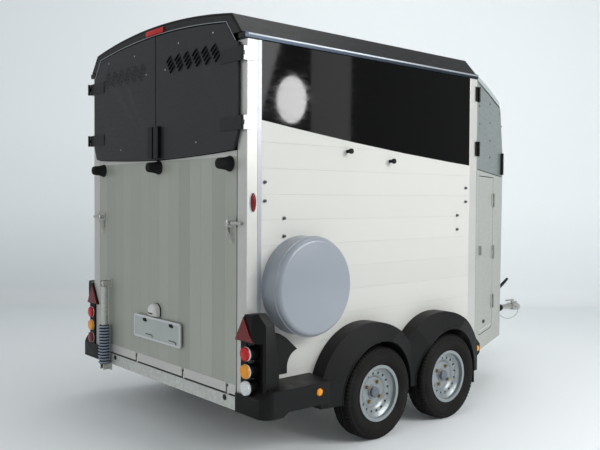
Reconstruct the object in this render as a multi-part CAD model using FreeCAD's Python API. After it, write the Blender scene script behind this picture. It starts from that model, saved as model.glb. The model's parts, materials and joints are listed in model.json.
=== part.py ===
import FreeCAD, Part
import math
import os

from FreeCAD import Vector as V

# Two-horse trailer with a rear ramp, two rear top doors, nose doors on both
# sides, twin axles and a jockey wheel. Millimetres. X runs forward from the
# rear face of the corner posts, Y to the left, Z up from the floor.

# Wheels
TYRE_R = 298.0
TYRE_W = 165.0
TYRE_GAP = 124.0           # between the treads of the two axles
BEAD_R = 168.0             # where the tyre sits on the rim
RIM_R = 182.0
RIM_W = 136.0
WELL_R = 140.0             # drop centre of the rim
STUB_R = 20.0
HUB_R = 46.0
CAP_R = 33.0
DRUM_R = 112.0
HOLE_R = 8.0
HOLE_COUNT = 16
ARM_LEN = 130.0
BEAM = 60.0

# Fenders, measured from the opening over the tyre
ARCH_GAP = 39.0            # between the tread and the opening
ARCH_R = TYRE_R + ARCH_GAP
LINER_T = 8.0
SKIRT_BACK = 171.0         # skirt behind the opening
SKIRT_FRONT = 55.0
CROWN = 128.0              # top of the fender over the opening
FENDER_LOW = 281.0
FENDER_OUT = 139.0         # how far the lip stands out from the wall
CONE_SLOPE = 0.23          # how fast the outer face falls back from the lip

# Body shell. Its length is what stands along the wall, one after the other.
LAMP_ROOM = 485.0          # lamps, bumper and chock behind the fender
AXLE_GAP = 2 * TYRE_R + TYRE_GAP
MARKER_ROOM = 85.0         # front marker and its bracket
AXLE_REAR = LAMP_ROOM + SKIRT_BACK + ARCH_R
AXLE_X = (AXLE_REAR, AXLE_REAR + AXLE_GAP)
BODY_LEN = AXLE_X[1] + ARCH_R + SKIRT_FRONT + MARKER_ROOM
BODY_HALF = 963.0          # half width over the side walls
SKIRT_Z = 375.0            # lowest edge of the walls
WALL_TOP = 2456.0          # top of the posts, under the roof rail
WALL_T = 30.0              # side wall thickness
ROOF_T = 14.0              # roof shell thickness
RAIL_H = 34.0              # roof rail height
RAIL_OUT = 8.0             # how far the rail stands out from the wall
ROOF_FOOT = 17.0           # the roof's foot stands this far in from the wall
SHOULDER_IN = 113.0        # the shoulder stands this far in from the wall
SHOULDER_UP = 156.0        # and this far over the top of the posts
ROOF_ARCH = 73.0           # rise of the middle over the shoulders
ROOF_TAIL = 26.0           # how far the roof runs past the posts at the rear
POST_Y = 90.0              # corner post, across
POST_X = 105.0             # corner post, along
FRONT_POST_X = 92.0
SEAM = 0.4                 # gap between fixed panels of the body
CLEAR = 6.0                # gap round everything that moves
WIDEST = 200.4             # the spare cover and side markers stand out this far
FACE = BODY_HALF + SEAM    # where what is hung on the wall begins
ROOF_HALF = BODY_HALF - ROOF_FOOT
SHOULDER_Y = BODY_HALF - SHOULDER_IN
SHOULDER_Z = WALL_TOP + SHOULDER_UP
ROOF_MID = SHOULDER_Z + ROOF_ARCH
FENDER_HALF = BODY_HALF + FENDER_OUT
WHEEL_Y = BODY_HALF + 49.0     # middle of the tyre
LINER_Y = BODY_HALF - 62.0     # inner wall of the wheel box
CAP_Y = WHEEL_Y + 34.0         # outer end of the hub cap

# Window band in the side wall: lower edge drops towards the front
WINDOW_REAR_Z = WALL_TOP - 455.0
WINDOW_MID_Z = WALL_TOP - 569.0
WINDOW_FRONT_Z = WALL_TOP - 653.0
WINDOW_T = 12.0

# Floor and frame
FLOOR_T = 24.0
FRAME_LOW = 320.0
FRAME_H = 72.0
FRAME_TOP = FRAME_LOW + FRAME_H
FLOOR_Z = FRAME_TOP + SEAM  # under side of the floor boards
FLOOR_UP = FLOOR_Z + FLOOR_T
RAIL_Y = BODY_HALF - 508.0  # centre of each frame rail
RAIL_W = 50.0
MEMBER_X = 60.0            # cross-member length along X

# Rear top doors
TOP_DOOR_T = 22.0
TOP_DOOR_GAP = 4.0         # between the leaf and the posts behind it
TOP_DOOR_H = 653.0         # from the lower edge at the centre to the top of the posts
TOP_DOOR_LOW = WALL_TOP - TOP_DOOR_H
TOP_DOOR_CORNER = TOP_DOOR_LOW + 35.0   # lower edge at the outer corner
TOP_DOOR_CUT = TOP_DOOR_LOW + 127.0     # top of the cut corner
TOP_DOOR_HALF = BODY_HALF - 58.0
TOP_DOOR_TOP = ROOF_MID - 69.0          # top edge at the centre
TOP_DOOR_SIDE = WALL_TOP - 16.0         # top edge at the outer side
TOP_DOOR_BEND_Y = SHOULDER_Y - 60.0     # where the sloping edge meets the arched top
TOP_DOOR_BEND_Z = SHOULDER_Z - 49.0
LEAF_GAP = 8.0

# Air slots in the top doors
SLOT_LONG = 62.0
SLOT_WIDE = 9.0
SLOT_DEEP = 8.0
SLOT_TILT = 38.0
SLOT_ROWS = 4
SLOT_STEP_Z = 23.0
SLOT_STEP_Y = 15.0
SLOT_START = 150.0
SLOT_PITCH = 100.0

# Ramp
RAMP_T = 40.0
RAMP_TOP = TOP_DOOR_LOW - 10.0
RAMP_HALF = BODY_HALF - POST_Y - CLEAR
HINGE_Z = 430.0
HINGE_X = RAMP_T / 2.0
PIN_R = 8.0
LUG_R = 16.0
LUG_W = 20.0
LUG_Y = (300.0, RAMP_HALF - 87.0)
NOTCH = 28.0
RUN_FIT = 0.08             # radial clearance of a shaft in its bore
STOP_REACH = 90.0          # the ramp's rubber feet stand out this far
STOP_Y = RAMP_HALF - 67.0
STOP_Z = RAMP_TOP - 41.0
BATTEN_H = 12.0            # foot battens on the inner face
BATTEN_W = 22.0
BATTEN_PITCH = 230.0

# Nose
NOSE_CORNER_X = BODY_LEN + 880.0
NOSE_CORNER_Y = BODY_HALF - 346.0
NOSE_TIP = NOSE_CORNER_X + 150.0
NOSE_T = 25.0
NOSE_ROUND = 60.0          # length of the rounded corner on each side of it

# Drawbar, coupling and jockey wheel
BALL_R = 25.0
DRAWBAR_START = BODY_LEN - 140.0
DRAWBAR_END = BODY_LEN + 1510.0
COUPLING_X = DRAWBAR_END + 575.0  # centre of the ball socket
COUPLING_Z = FRAME_TOP + 38.0
COUPLING_NOSE = 65.0       # from the socket centre to the front of the head
JOCKEY_X = DRAWBAR_END - 60.0
JOCKEY_Y = 150.0
JOCKEY_R = 100.0
JOCKEY_W = 60.0
JOCKEY_TRAIL = 42.0
JOCKEY_TUBE_R = 24.0

# Spare wheel cover on the right wall
SPARE_X = 407.0
SPARE_Z = 1031.0
SPARE_R = 300.0

# Ramp spring on the left
STRUT_Y = RAMP_HALF - 167.0
STRUT_X = -49.0
STRUT_LOW = 304.0
STRUT_TOP = 920.0
STRUT_TUBE_R = 26.0
GAITER_R = 41.0
GAITER_FOOT = 36.0         # from the lower eye to the first rib
RIB_COUNT = 8
RIB_PITCH = 34.0
EYE_R = 18.0
EYE_HALF = 14.0

# Lamps, their housing and the bumper
HOUSING_REAR = 14.0        # the housing stands this far behind the posts
HOUSING_LEN = 130.0
HOUSING_OUT = 137.0
HOUSING_TOP = 905.0
HOUSING_WALL = 15.0
BUMPER_OUT = 186.0
BUMPER_LOW = 320.0
BUMPER_TOP = 474.0
LAMP_Y = BODY_HALF + 15.0
LAMP_Z = (475.0, 570.0, 670.0)
LAMP_R = 40.0
LAMP_OUT = 34.0            # the lenses stand this far behind the posts
RECESS_TOP = 735.0

FRONT_END = COUPLING_X + COUPLING_NOSE
MIDDLE_X = (FRONT_END - STOP_REACH) / 2.0


def box(x0, x1, y0, y1, z0, z1):
    """A block between two corners."""
    return Part.makeBox(x1 - x0, y1 - y0, z1 - z0, V(x0, y0, z0))


def rod(start, end, radius):
    """A round bar between two points."""
    way = end - start
    return Part.makeCylinder(radius, way.Length, start, way)


def mirror(shape):
    """The same shape on the other side of the trailer."""
    return shape.mirror(V(0, 0, 0), V(0, 1, 0))


def both(shape):
    """The shape and its mirror image, as two solids that don't touch."""
    return Part.makeCompound([shape, mirror(shape)])


def fuse(shapes):
    """One solid out of several that share faces or volume."""
    return shapes[0].multiFuse(shapes[1:]).removeSplitter()


def wire(place, points):
    """A closed wire. A point is (a, b), or (a, b, c, d) for an arc that
    passes through a, b and ends at c, d. place turns a, b into space."""
    edges = []
    here = place(*points[0])
    for point in points[1:] + [points[0]]:
        end = place(*point[-2:])
        if len(point) == 4:
            edges.append(Part.Arc(here, place(*point[:2]), end).toShape())
        elif (end - here).Length > 0.01:
            edges.append(Part.LineSegment(here, end).toShape())
        here = end
    return Part.Wire(edges)


def prism(place, points, depth):
    """The wire's face pushed along a vector."""
    return Part.Face(wire(place, points)).extrude(depth)


def on_y(y):
    """Points given as X, Z on a plane across the trailer's side."""
    return lambda a, b: V(a, y, b)


def on_x(x):
    """Points given as Y, Z on a plane across the trailer."""
    return lambda a, b: V(x, a, b)


def on_z(z):
    """Points given as X, Y at one height."""
    return lambda a, b: V(a, b, z)


def hinge(height, fixed_reach, moving_reach, offset, knuckle_r=9.0, leaf=4.0, pin_r=4.0):
    """A butt hinge round the local Z axis. The surface it lies on is the
    plane Y = -offset. The fixed leaf runs to -X, the moving one to +X.
    Returns the fixed half with its pin, and the moving half."""
    third = height / 3.0
    gap = 1.0
    low = -height / 2.0
    fixed = []
    for bottom in (low, low + 2 * third + gap / 2.0):
        fixed.append(Part.makeCylinder(knuckle_r, third - gap / 2.0, V(0, 0, bottom)))
        fixed.append(box(-knuckle_r - 2, 0, -offset, -offset + leaf, bottom, bottom + third - gap / 2.0))
        fixed.append(box(-knuckle_r - 2, 0, -offset, 0, bottom, bottom + third - gap / 2.0)
                     .cut(box(-knuckle_r - 3, -knuckle_r + 2, -offset + leaf, 1, low, -low)))
    fixed.append(box(-fixed_reach, -knuckle_r - 2, -offset, -offset + leaf, low, -low))
    fixed.append(Part.makeCylinder(pin_r, height, V(0, 0, low)))
    moving = [
        Part.makeCylinder(knuckle_r, third - gap, V(0, 0, low + third + gap / 2.0)),
        box(0, knuckle_r + 2, -offset, 0, low + third + gap / 2.0, low + 2 * third - gap / 2.0)
        .cut(box(knuckle_r - 2, knuckle_r + 3, -offset + leaf, 1, low, -low)),
        box(knuckle_r + 2, moving_reach, -offset, -offset + leaf, low, -low),
    ]
    bore = Part.makeCylinder(pin_r + RUN_FIT, height + 2, V(0, 0, low - 1))
    return fuse(fixed), fuse(moving).cut(bore)


def turned(shape, point, degrees):
    """The shape turned about Z, then moved so its origin is at the point."""
    copy = shape.copy()
    copy.rotate(V(0, 0, 0), V(0, 0, 1), degrees)
    copy.translate(point)
    return copy


# Left arm of the drawbar seen from above, X and Y of its corners
DRAWBAR_ARM = [(DRAWBAR_START, RAIL_Y - 25), (DRAWBAR_END, 20), (DRAWBAR_END + 60, 20), (DRAWBAR_END + 60, 56),
               (DRAWBAR_END + 40, 62), (DRAWBAR_START, RAIL_Y + 25)]


def arm_side(x):
    """How far the left arm's outer face is from the centre line."""
    (x0, y0), (x1, y1) = DRAWBAR_ARM[5], DRAWBAR_ARM[4]
    return y0 + (x - x0) * (y1 - y0) / (x1 - x0)


# Nose plane on the left: s runs forward along the panel, w outward from it.
NOSE_RUN = math.hypot(NOSE_CORNER_X - BODY_LEN, BODY_HALF - NOSE_CORNER_Y)
NOSE_DIR = V((NOSE_CORNER_X - BODY_LEN) / NOSE_RUN, (NOSE_CORNER_Y - BODY_HALF) / NOSE_RUN, 0)
NOSE_OUT = V(-NOSE_DIR.y, NOSE_DIR.x, 0)
NOSE_ANGLE = math.degrees(math.atan2(NOSE_DIR.y, NOSE_DIR.x))

# Height and how far forward of the corner the front stands there
NOSE_STATIONS = (
    (SKIRT_Z, -12.0),
    (WALL_TOP - 520.0, 38.0),
    (WALL_TOP - 285.0, -40.0),
    (WALL_TOP - 152.0, -71.0),
    (WALL_TOP - 99.0, -125.0),
    (WALL_TOP + 264.0, -520.0),
)

# Station along X, shoulder's half width and height, half width and height
# where the slope meets the wall, height on the centre line
NOSE_TOP = (
    (BODY_LEN - 60.0, SHOULDER_Y + 6, SHOULDER_Z + 6, BODY_HALF, WALL_TOP + 28.0, ROOF_MID + 4),
    (BODY_LEN, SHOULDER_Y, SHOULDER_Z, BODY_HALF, WALL_TOP + 20.0, ROOF_MID),
    (NOSE_CORNER_X - 110.0, SHOULDER_Y - 290.0, SHOULDER_Z - 187.0, BODY_HALF - 303.0, WALL_TOP - 94.0,
     ROOF_MID - 215.0),
    (NOSE_CORNER_X + 250.0, SHOULDER_Y - 410.0, SHOULDER_Z - 282.0, BODY_HALF - 443.0, WALL_TOP - 176.0,
     ROOF_MID - 335.0),
)

# Lower edge of the nose cap: s and height
CAP_LINE = ((-20.0, WALL_TOP - 6.0), (385.0, WALL_TOP - 59.0), (790.0, WALL_TOP - 123.0),
            (1000.0, WALL_TOP - 194.0))


def nose_at(s, w, z):
    """A point beside the left nose panel."""
    p = V(BODY_LEN, BODY_HALF, 0) + NOSE_DIR * s + NOSE_OUT * w
    return V(p.x, p.y, z)


def nose_section(z, forward, inset, back):
    """Plan of the nose at one height, drawn in by inset, from X = back."""
    corner_s = NOSE_RUN + forward - inset
    tip = V(NOSE_TIP + forward - inset, 0, z)
    root = nose_at(0, -inset, z)
    start = root + NOSE_DIR * ((back - root.x) / NOSE_DIR.x)
    before = nose_at(corner_s - NOSE_ROUND, -inset, z)
    corner = nose_at(corner_s, -inset, z)
    bulge = tip.x - corner.x
    radius = (bulge ** 2 + corner.y ** 2) / (2 * bulge)
    angle = math.asin(corner.y / radius) - NOSE_ROUND / radius
    after = V(tip.x - radius + radius * math.cos(angle), radius * math.sin(angle), z)
    half = (before + after) * 0.5
    middle = half + (corner - half) * 0.45
    points = [start, before, middle, after, tip]
    flip = [V(p.x, -p.y, p.z) for p in points]
    return Part.Wire([
        Part.LineSegment(start, before).toShape(),
        Part.Arc(before, middle, after).toShape(),
        Part.Arc(after, tip, flip[3]).toShape(),
        Part.Arc(flip[3], flip[2], flip[1]).toShape(),
        Part.LineSegment(flip[1], flip[0]).toShape(),
        Part.LineSegment(flip[0], start).toShape(),
    ])


def nose_solid(inset, back, low):
    """The nose as a filled form, drawn in by inset on every side."""
    rows = [nose_section(z, forward, inset, back) for z, forward in NOSE_STATIONS]
    if low < SKIRT_Z:
        rows.insert(0, nose_section(low, NOSE_STATIONS[0][1], inset, back))
    body = Part.makeLoft(rows, True, True)
    wide = BODY_HALF + 60.0
    caps = []
    for x, shoulder_y, shoulder_z, edge_y, edge_z, middle in NOSE_TOP:
        slope = (edge_z - shoulder_z) / (edge_y - shoulder_y)
        foot = shoulder_z + slope * (wide - shoulder_y) - inset
        caps.append(wire(on_x(x), [(-wide, low - 10), (-wide, foot), (-shoulder_y, shoulder_z - inset),
                                   (0, middle - inset, shoulder_y, shoulder_z - inset),
                                   (wide, foot), (wide, low - 10)]))
    return body.common(Part.makeLoft(caps, True, True))


def cap_cutter(lift):
    """All space above the nose cap's lower edge, raised by lift."""
    points = [(BODY_LEN - 20, CAP_LINE[0][1] + lift)]
    for s, z in CAP_LINE[1:]:
        points.append((nose_at(s, 0, 0).x, z + lift))
    points.append((NOSE_TIP + 60, CAP_LINE[-1][1] + lift - 60))
    points += [(NOSE_TIP + 60, ROOF_MID + 300), (BODY_LEN - 20, ROOF_MID + 300)]
    return prism(on_y(-BODY_HALF - 137), points, V(0, 2 * BODY_HALF + 274, 0))


def nose_slab(points, w0, w1):
    """A flat piece on the nose plane; points are s and height."""
    return prism(lambda s, z: nose_at(s, w0, z), points, NOSE_OUT * (w1 - w0))


# Nose doors, s and height of their corners on the left panel
UPPER_DOOR = [(22, WALL_TOP - 24), (22, WALL_TOP - 674), (898, WALL_TOP - 708), (898, WALL_TOP - 496),
              (858, WALL_TOP - 286), (812, WALL_TOP - 156), (780, WALL_TOP - 132), (385, WALL_TOP - 69)]
LOWER_DOOR_S = (87.0, 570.0)
LOWER_DOOR_Z = (SKIRT_Z + 125.0, WALL_TOP - 728.0)
LOWER_DOOR_ROUND = 60.0
SIDE_PANEL_END = 880.0     # the flat panel ends here, the rounded front begins


def grown(points, middle, by):
    """The outline moved away from its middle by a little on each side."""
    out = []
    for s, z in points:
        out.append((s + math.copysign(by, s - middle[0]), z + math.copysign(by, z - middle[1])))
    return out


def lower_door_outline(by):
    """Groom's door with rounded corners, grown by a gap."""
    s0, s1 = LOWER_DOOR_S[0] - by, LOWER_DOOR_S[1] + by
    z0, z1 = LOWER_DOOR_Z[0] - by, LOWER_DOOR_Z[1] + by
    r = LOWER_DOOR_ROUND + by
    k = r * (1 - math.sqrt(0.5))
    return [(s0, z1), (s0, z0 + r), (s0 + k, z0 + k, s0 + r, z0), (s1 - r, z0),
            (s1 - k, z0 + k, s1, z0 + r), (s1, z1)]


def nose_pieces():
    """Cap, side panels and rounded front out of one moulded shell."""
    shell = nose_solid(0, BODY_LEN + SEAM, SKIRT_Z).cut(nose_solid(NOSE_T, BODY_LEN - 50, SKIRT_Z - 40))
    above = cap_cutter(SEAM / 2)
    cap = shell.common(above)
    rest = shell.cut(cap_cutter(-SEAM / 2))
    low, high = SKIRT_Z - 75, WALL_TOP + 144
    block = nose_slab([(-40, low), (SIDE_PANEL_END, low), (SIDE_PANEL_END, high), (-40, high)], 40, -160)
    panel = rest.common(block)
    door_hole = nose_slab(grown(UPPER_DOOR, (460, WALL_TOP - 406), CLEAR), 60, -200)
    panel = panel.cut(door_hole).cut(nose_slab(lower_door_outline(CLEAR), 60, -200))
    wide_block = nose_slab([(-40, low), (SIDE_PANEL_END + SEAM, low), (SIDE_PANEL_END + SEAM, high),
                            (-40, high)], 60, -300)
    front = rest.cut(wide_block).cut(mirror(wide_block)).cut(door_hole).cut(mirror(door_hole))
    slot = prism(on_z(FRAME_LOW), [(x, y + (4 if y > 40 else -4)) for x, y in DRAWBAR_ARM],
                 V(0, 0, FRAME_TOP - FRAME_LOW + 4))
    front = front.cut(slot).cut(mirror(slot))
    return cap, panel, front


def nose_upper_door():
    """Upper nose door leaf on the left."""
    return nose_slab(UPPER_DOOR, -SEAM, -NOSE_T + SEAM)


def nose_lower_door():
    """Groom's door leaf on the left."""
    return nose_slab(lower_door_outline(0), -SEAM, -NOSE_T + SEAM)


NOSE_HINGE_OUT = 12.0
UPPER_HINGE_S = 11.0
UPPER_HINGE_Z = (WALL_TOP - 524.0, WALL_TOP - 113.0)
LOWER_HINGE_S = LOWER_DOOR_S[1] + CLEAR / 2.0
LOWER_HINGE_Z = (LOWER_DOOR_Z[0] + 213.0, LOWER_DOOR_Z[0] + 617.0, LOWER_DOOR_Z[1] - 185.0)


def nose_hinges(s, heights, turn, height):
    """Fixed and moving halves of the hinges at one line of the nose."""
    fixed, moving = hinge(height, 22.0 if turn else 40.0, 48.0, NOSE_HINGE_OUT)
    if turn:
        fixed = fixed.mirror(V(0, 0, 0), V(1, 0, 0))
        moving = moving.mirror(V(0, 0, 0), V(1, 0, 0))
    halves = ([], [])
    for z in heights:
        point = nose_at(s, NOSE_HINGE_OUT, z)
        halves[0].append(turned(fixed, point, NOSE_ANGLE))
        halves[1].append(turned(moving, point, NOSE_ANGLE))
    return halves


def handle_bar(s, z0, z1):
    """A flat upright handle that stands on the nose door."""
    return nose_slab([(s - 14, z0), (s + 14, z0), (s + 14, z1), (s - 14, z1)], 0, 22.0)


# Side wall with window and wheel openings

def side_wall():
    """Left wall below the window, with its wheel openings."""
    x0, x1 = POST_X + SEAM, BODY_LEN - FRONT_POST_X - SEAM
    mid = (x0 + x1) / 2.0
    points = [(x0, SKIRT_Z), (x0, WINDOW_REAR_Z), (mid, WINDOW_MID_Z, x1, WINDOW_FRONT_Z), (x1, SKIRT_Z)]
    wall = prism(on_y(BODY_HALF - WALL_T), points, V(0, WALL_T, 0))
    around = ARCH_R + LINER_T + SEAM
    for x in AXLE_X:
        wall = wall.cut(rod(V(x, BODY_HALF - 60, TYRE_R), V(x, BODY_HALF + 60, TYRE_R), around))
    return wall


def side_window():
    """Left dark window band over the wall."""
    x0, x1 = POST_X + SEAM, BODY_LEN - FRONT_POST_X - SEAM
    mid = (x0 + x1) / 2.0
    points = [(x0, WINDOW_REAR_Z + SEAM), (mid, WINDOW_MID_Z + SEAM, x1, WINDOW_FRONT_Z + SEAM),
              (x1, WALL_TOP - SEAM), (x0, WALL_TOP - SEAM)]
    return prism(on_y(BODY_HALF - WINDOW_T), points, V(0, WINDOW_T - 1.0, 0))


def corner_post(x0, x1):
    """Left upright of the body."""
    return box(x0, x1, BODY_HALF - POST_Y, BODY_HALF, SKIRT_Z, WALL_TOP - SEAM)


def roof_rail():
    """Left rail on top of the wall."""
    return box(-ROOF_TAIL + 4, BODY_LEN - SEAM, BODY_HALF - 60, BODY_HALF + RAIL_OUT,
               WALL_TOP, WALL_TOP + RAIL_H)


def roof_line(shrink):
    """The roof's cross-section from the left foot to the right one."""
    low = WALL_TOP + RAIL_H + SEAM
    return [(ROOF_HALF - shrink, low), (SHOULDER_Y - 0.7 * shrink, SHOULDER_Z - 0.7 * shrink),
            (0, ROOF_MID - shrink, -SHOULDER_Y + 0.7 * shrink, SHOULDER_Z - 0.7 * shrink),
            (-ROOF_HALF + shrink, low)]


def roof():
    """Arched roof shell between the rails."""
    length = V(BODY_LEN + ROOF_TAIL - SEAM, 0, 0)
    outer = prism(on_x(-ROOF_TAIL), roof_line(0), length)
    return outer.cut(prism(on_x(-ROOF_TAIL - 1), roof_line(ROOF_T), length + V(2, 0, 0)))


def top_door_line(grow):
    """Upper edge of both top doors together, from left to right."""
    side, bend = TOP_DOOR_HALF - 28 + grow, TOP_DOOR_BEND_Y + 0.6 * grow
    return [(side, TOP_DOOR_SIDE + 10), (bend, TOP_DOOR_BEND_Z + 0.8 * grow),
            (0, TOP_DOOR_TOP + grow, -bend, TOP_DOOR_BEND_Z + 0.8 * grow), (-side, TOP_DOOR_SIDE + 10)]


def rear_arch():
    """Header under the roof: a fascia round the doors and a stop behind them."""
    under = prism(on_x(-ROOF_TAIL), roof_line(ROOF_T + SEAM), V(ROOF_TAIL + 62, 0, 0))
    low = WALL_TOP + RAIL_H + SEAM
    doors = prism(on_x(-ROOF_TAIL - 1), [(TOP_DOOR_HALF, low - 60)] + top_door_line(CLEAR)
                  + [(-TOP_DOOR_HALF, low - 60)], V(ROOF_TAIL + 3, 0, 0))
    inside = prism(on_x(-ROOF_TAIL - 1), [(TOP_DOOR_HALF - 60, low - 60)] + top_door_line(-44)
                   + [(-TOP_DOOR_HALF + 60, low - 60)], V(ROOF_TAIL + 70, 0, 0))
    return under.cut(doors).cut(inside)


def air_slots(face_x):
    """Cutters for the slanted air slots, in groups along the left leaf."""
    tilt = math.radians(SLOT_TILT)
    run, rise = math.cos(tilt), math.sin(tilt)
    slots = []
    for group in range(int((TOP_DOOR_HALF - 105 - SLOT_START) / SLOT_PITCH)):
        for row in range(SLOT_ROWS):
            y = SLOT_START + SLOT_PITCH * group + SLOT_STEP_Y * (SLOT_ROWS - row)
            z = TOP_DOOR_SIDE - 65 + SLOT_STEP_Z * row
            corners = [(y + a * run - b * rise, z + a * rise + b * run)
                       for a, b in ((-SLOT_LONG / 2, -SLOT_WIDE / 2), (SLOT_LONG / 2, -SLOT_WIDE / 2),
                                    (SLOT_LONG / 2, SLOT_WIDE / 2), (-SLOT_LONG / 2, SLOT_WIDE / 2))]
            slots.append(prism(on_x(face_x - 1), corners, V(SLOT_DEEP + 1, 0, 0)))
    return slots


def top_door():
    """Left leaf of the rear top doors, with its air slots."""
    half = TOP_DOOR_HALF
    low = [(-half, TOP_DOOR_LOW - 300), (half, TOP_DOOR_LOW - 300), (half, TOP_DOOR_SIDE)]
    outer = -TOP_DOOR_GAP - TOP_DOOR_T
    pair = prism(on_x(outer), low + top_door_line(0) + [(-half, TOP_DOOR_SIDE)], V(TOP_DOOR_T, 0, 0))
    points = [(LEAF_GAP / 2, TOP_DOOR_LOW), (half * 0.45, TOP_DOOR_LOW + 9, half - 55, TOP_DOOR_CORNER - 6),
              (half - 40, TOP_DOOR_CORNER), (half, TOP_DOOR_CUT), (half + 20, TOP_DOOR_CUT),
              (half + 20, ROOF_MID + 20), (LEAF_GAP / 2, ROOF_MID + 20)]
    leaf = pair.common(prism(on_x(outer - 1), points, V(TOP_DOOR_T + 2, 0, 0)))
    return leaf.cut(Part.makeCompound(air_slots(outer)))


TOP_HINGE_OUT = 12.0
TOP_HINGE_X = -TOP_DOOR_GAP - TOP_DOOR_T - TOP_HINGE_OUT
TOP_HINGE_Y = BODY_HALF + 4.0
TOP_HINGE_Z = (TOP_DOOR_LOW + 177.0, TOP_DOOR_SIDE - 70.0)
TOP_HINGE_H = 80.0


def top_hinges():
    """Straps on the left leaf and brackets that wrap the post."""
    fixed, moving = [], []
    third = TOP_HINGE_H / 3.0
    knuckle, pin, leaf = 9.0, 4.0, 4.0
    for z in TOP_HINGE_Z:
        low = z - TOP_HINGE_H / 2.0
        axis = V(TOP_HINGE_X, TOP_HINGE_Y, low)
        start = TOP_HINGE_X + knuckle + CLEAR + 2
        plate = box(start, 60, BODY_HALF, BODY_HALF + leaf, low, low + TOP_HINGE_H)
        parts = [plate, Part.makeCylinder(pin, TOP_HINGE_H, axis)]
        for bottom in (low, low + 2 * third + 0.5):
            parts.append(Part.makeCylinder(knuckle, third - 0.5, V(axis.x, axis.y, bottom)))
            parts.append(box(TOP_HINGE_X, start, BODY_HALF, BODY_HALF + leaf, bottom, bottom + third - 0.5))
        fixed.append(fuse(parts))
        outer = -TOP_DOOR_GAP - TOP_DOOR_T
        mid_low, mid_high = low + third + 0.5, low + 2 * third - 0.5
        reach = TOP_HINGE_Y - knuckle - 2
        strap = [box(outer - leaf, outer, TOP_DOOR_HALF - 165, reach, low, low + TOP_HINGE_H),
                 box(outer - leaf, outer, reach, TOP_HINGE_Y, mid_low, mid_high),
                 Part.makeCylinder(knuckle, mid_high - mid_low, V(axis.x, axis.y, mid_low))]
        bore = Part.makeCylinder(pin + RUN_FIT, TOP_HINGE_H + 2, V(axis.x, axis.y, low - 1))
        moving.append(fuse(strap).cut(bore))
    return fixed, moving


def top_handle(y0, y1):
    """Upright handle on a top door leaf."""
    outer = -TOP_DOOR_GAP - TOP_DOOR_T
    return box(outer - 24, outer, y0, y1, TOP_DOOR_LOW + 9, TOP_DOOR_LOW + 217)


# Ramp


def ramp():
    """Plank ramp with its half-round lower edge, notches, pin bores and foot battens."""
    r = RAMP_T / 2.0
    points = [(0, RAMP_TOP), (0, HINGE_Z), (HINGE_X, HINGE_Z - r, RAMP_T, HINGE_Z), (RAMP_T, RAMP_TOP)]
    slab = prism(on_y(-RAMP_HALF), points, V(0, 2 * RAMP_HALF, 0))
    for y in LUG_Y:
        for side in (1, -1):
            w = LUG_W / 2.0 + CLEAR
            slab = slab.cut(box(-1, RAMP_T + 1, side * y - w, side * y + w, HINGE_Z - r - 1, HINGE_Z + NOTCH))
            slab = slab.cut(rod(V(HINGE_X, side * y - 46, HINGE_Z), V(HINGE_X, side * y + 46, HINGE_Z),
                                PIN_R + RUN_FIT))
    battens = []
    z = FLOOR_UP + 140
    top = RAMP_T + BATTEN_H
    while z < RAMP_TOP - 100:
        section = [(RAMP_T, z), (RAMP_T, z + BATTEN_W + 8), (top, z + BATTEN_W), (top, z + 8)]
        battens.append(prism(on_y(-RAMP_HALF + 120), section, V(0, 2 * RAMP_HALF - 240, 0)))
        z += BATTEN_PITCH
    return fuse([slab] + battens)


def ramp_lugs():
    """Lugs with pins that stand on the rear member."""
    parts = []
    for y in LUG_Y:
        for side in (1, -1):
            w = LUG_W / 2.0
            c = side * y
            lug = prism(on_y(c - w), [(HINGE_X - LUG_R, FRAME_TOP), (HINGE_X - LUG_R, HINGE_Z),
                                      (HINGE_X, HINGE_Z + LUG_R, HINGE_X + LUG_R, HINGE_Z),
                                      (HINGE_X + LUG_R, FRAME_TOP)], V(0, LUG_W, 0))
            parts.append(fuse([lug, rod(V(HINGE_X, c - 44, HINGE_Z), V(HINGE_X, c + 44, HINGE_Z), PIN_R)]))
    return parts


def ramp_stops():
    """Three rubber feet on the outer face near the top edge."""
    parts = []
    for y in (-STOP_Y, 0.0, STOP_Y):
        base = Part.Wire([Part.Circle(V(0, y, STOP_Z), V(1, 0, 0), 34).toShape()])
        tip = Part.Wire([Part.Circle(V(-STOP_REACH, y, STOP_Z), V(1, 0, 0), 22).toShape()])
        parts.append(Part.makeLoft([base, tip], True, True))
    return Part.makeCompound(parts)


def ramp_latches():
    """Over-centre latches that hold the ramp to the posts."""
    y, z = RAMP_HALF - 55, RAMP_TOP - 385
    plate = box(-6, 0, y - 42, RAMP_HALF, z - 28, z + 32)
    arm = box(-26, -6, y - 22, RAMP_HALF + 58, z - 8, z + 8)
    knob = rod(V(-34, y, z), V(-6, y, z), 14)
    strap = box(-12, -6, y - 30, y - 16, z - 78, z - 24)
    return both(fuse([plate, arm, knob, strap]))


def plate_holder():
    """Blank plate holder with its clips."""
    holder = prism(on_x(-24), [(-300, 600), (-292, 592, -284, 588), (284, 588), (292, 592, 300, 600),
                               (300, 738), (292, 746, 284, 748), (-284, 748), (-292, 746, -300, 738)],
                   V(12, 0, 0))
    feet = [box(-12, 0, y - 20, y + 20, 640, 700) for y in (-200, 200)]
    return fuse([holder] + feet)


def plate_lamp():
    """Domed lamp over the plate holder."""
    return rod(V(0, 25, 790), V(-52, 25, 790), 52).common(box(-60, 0, -60, 110, 772, 860))


# Ramp spring: a coil in a ribbed gaiter that bends as the ramp opens, and the
# bar over it that the ramp carries

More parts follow.
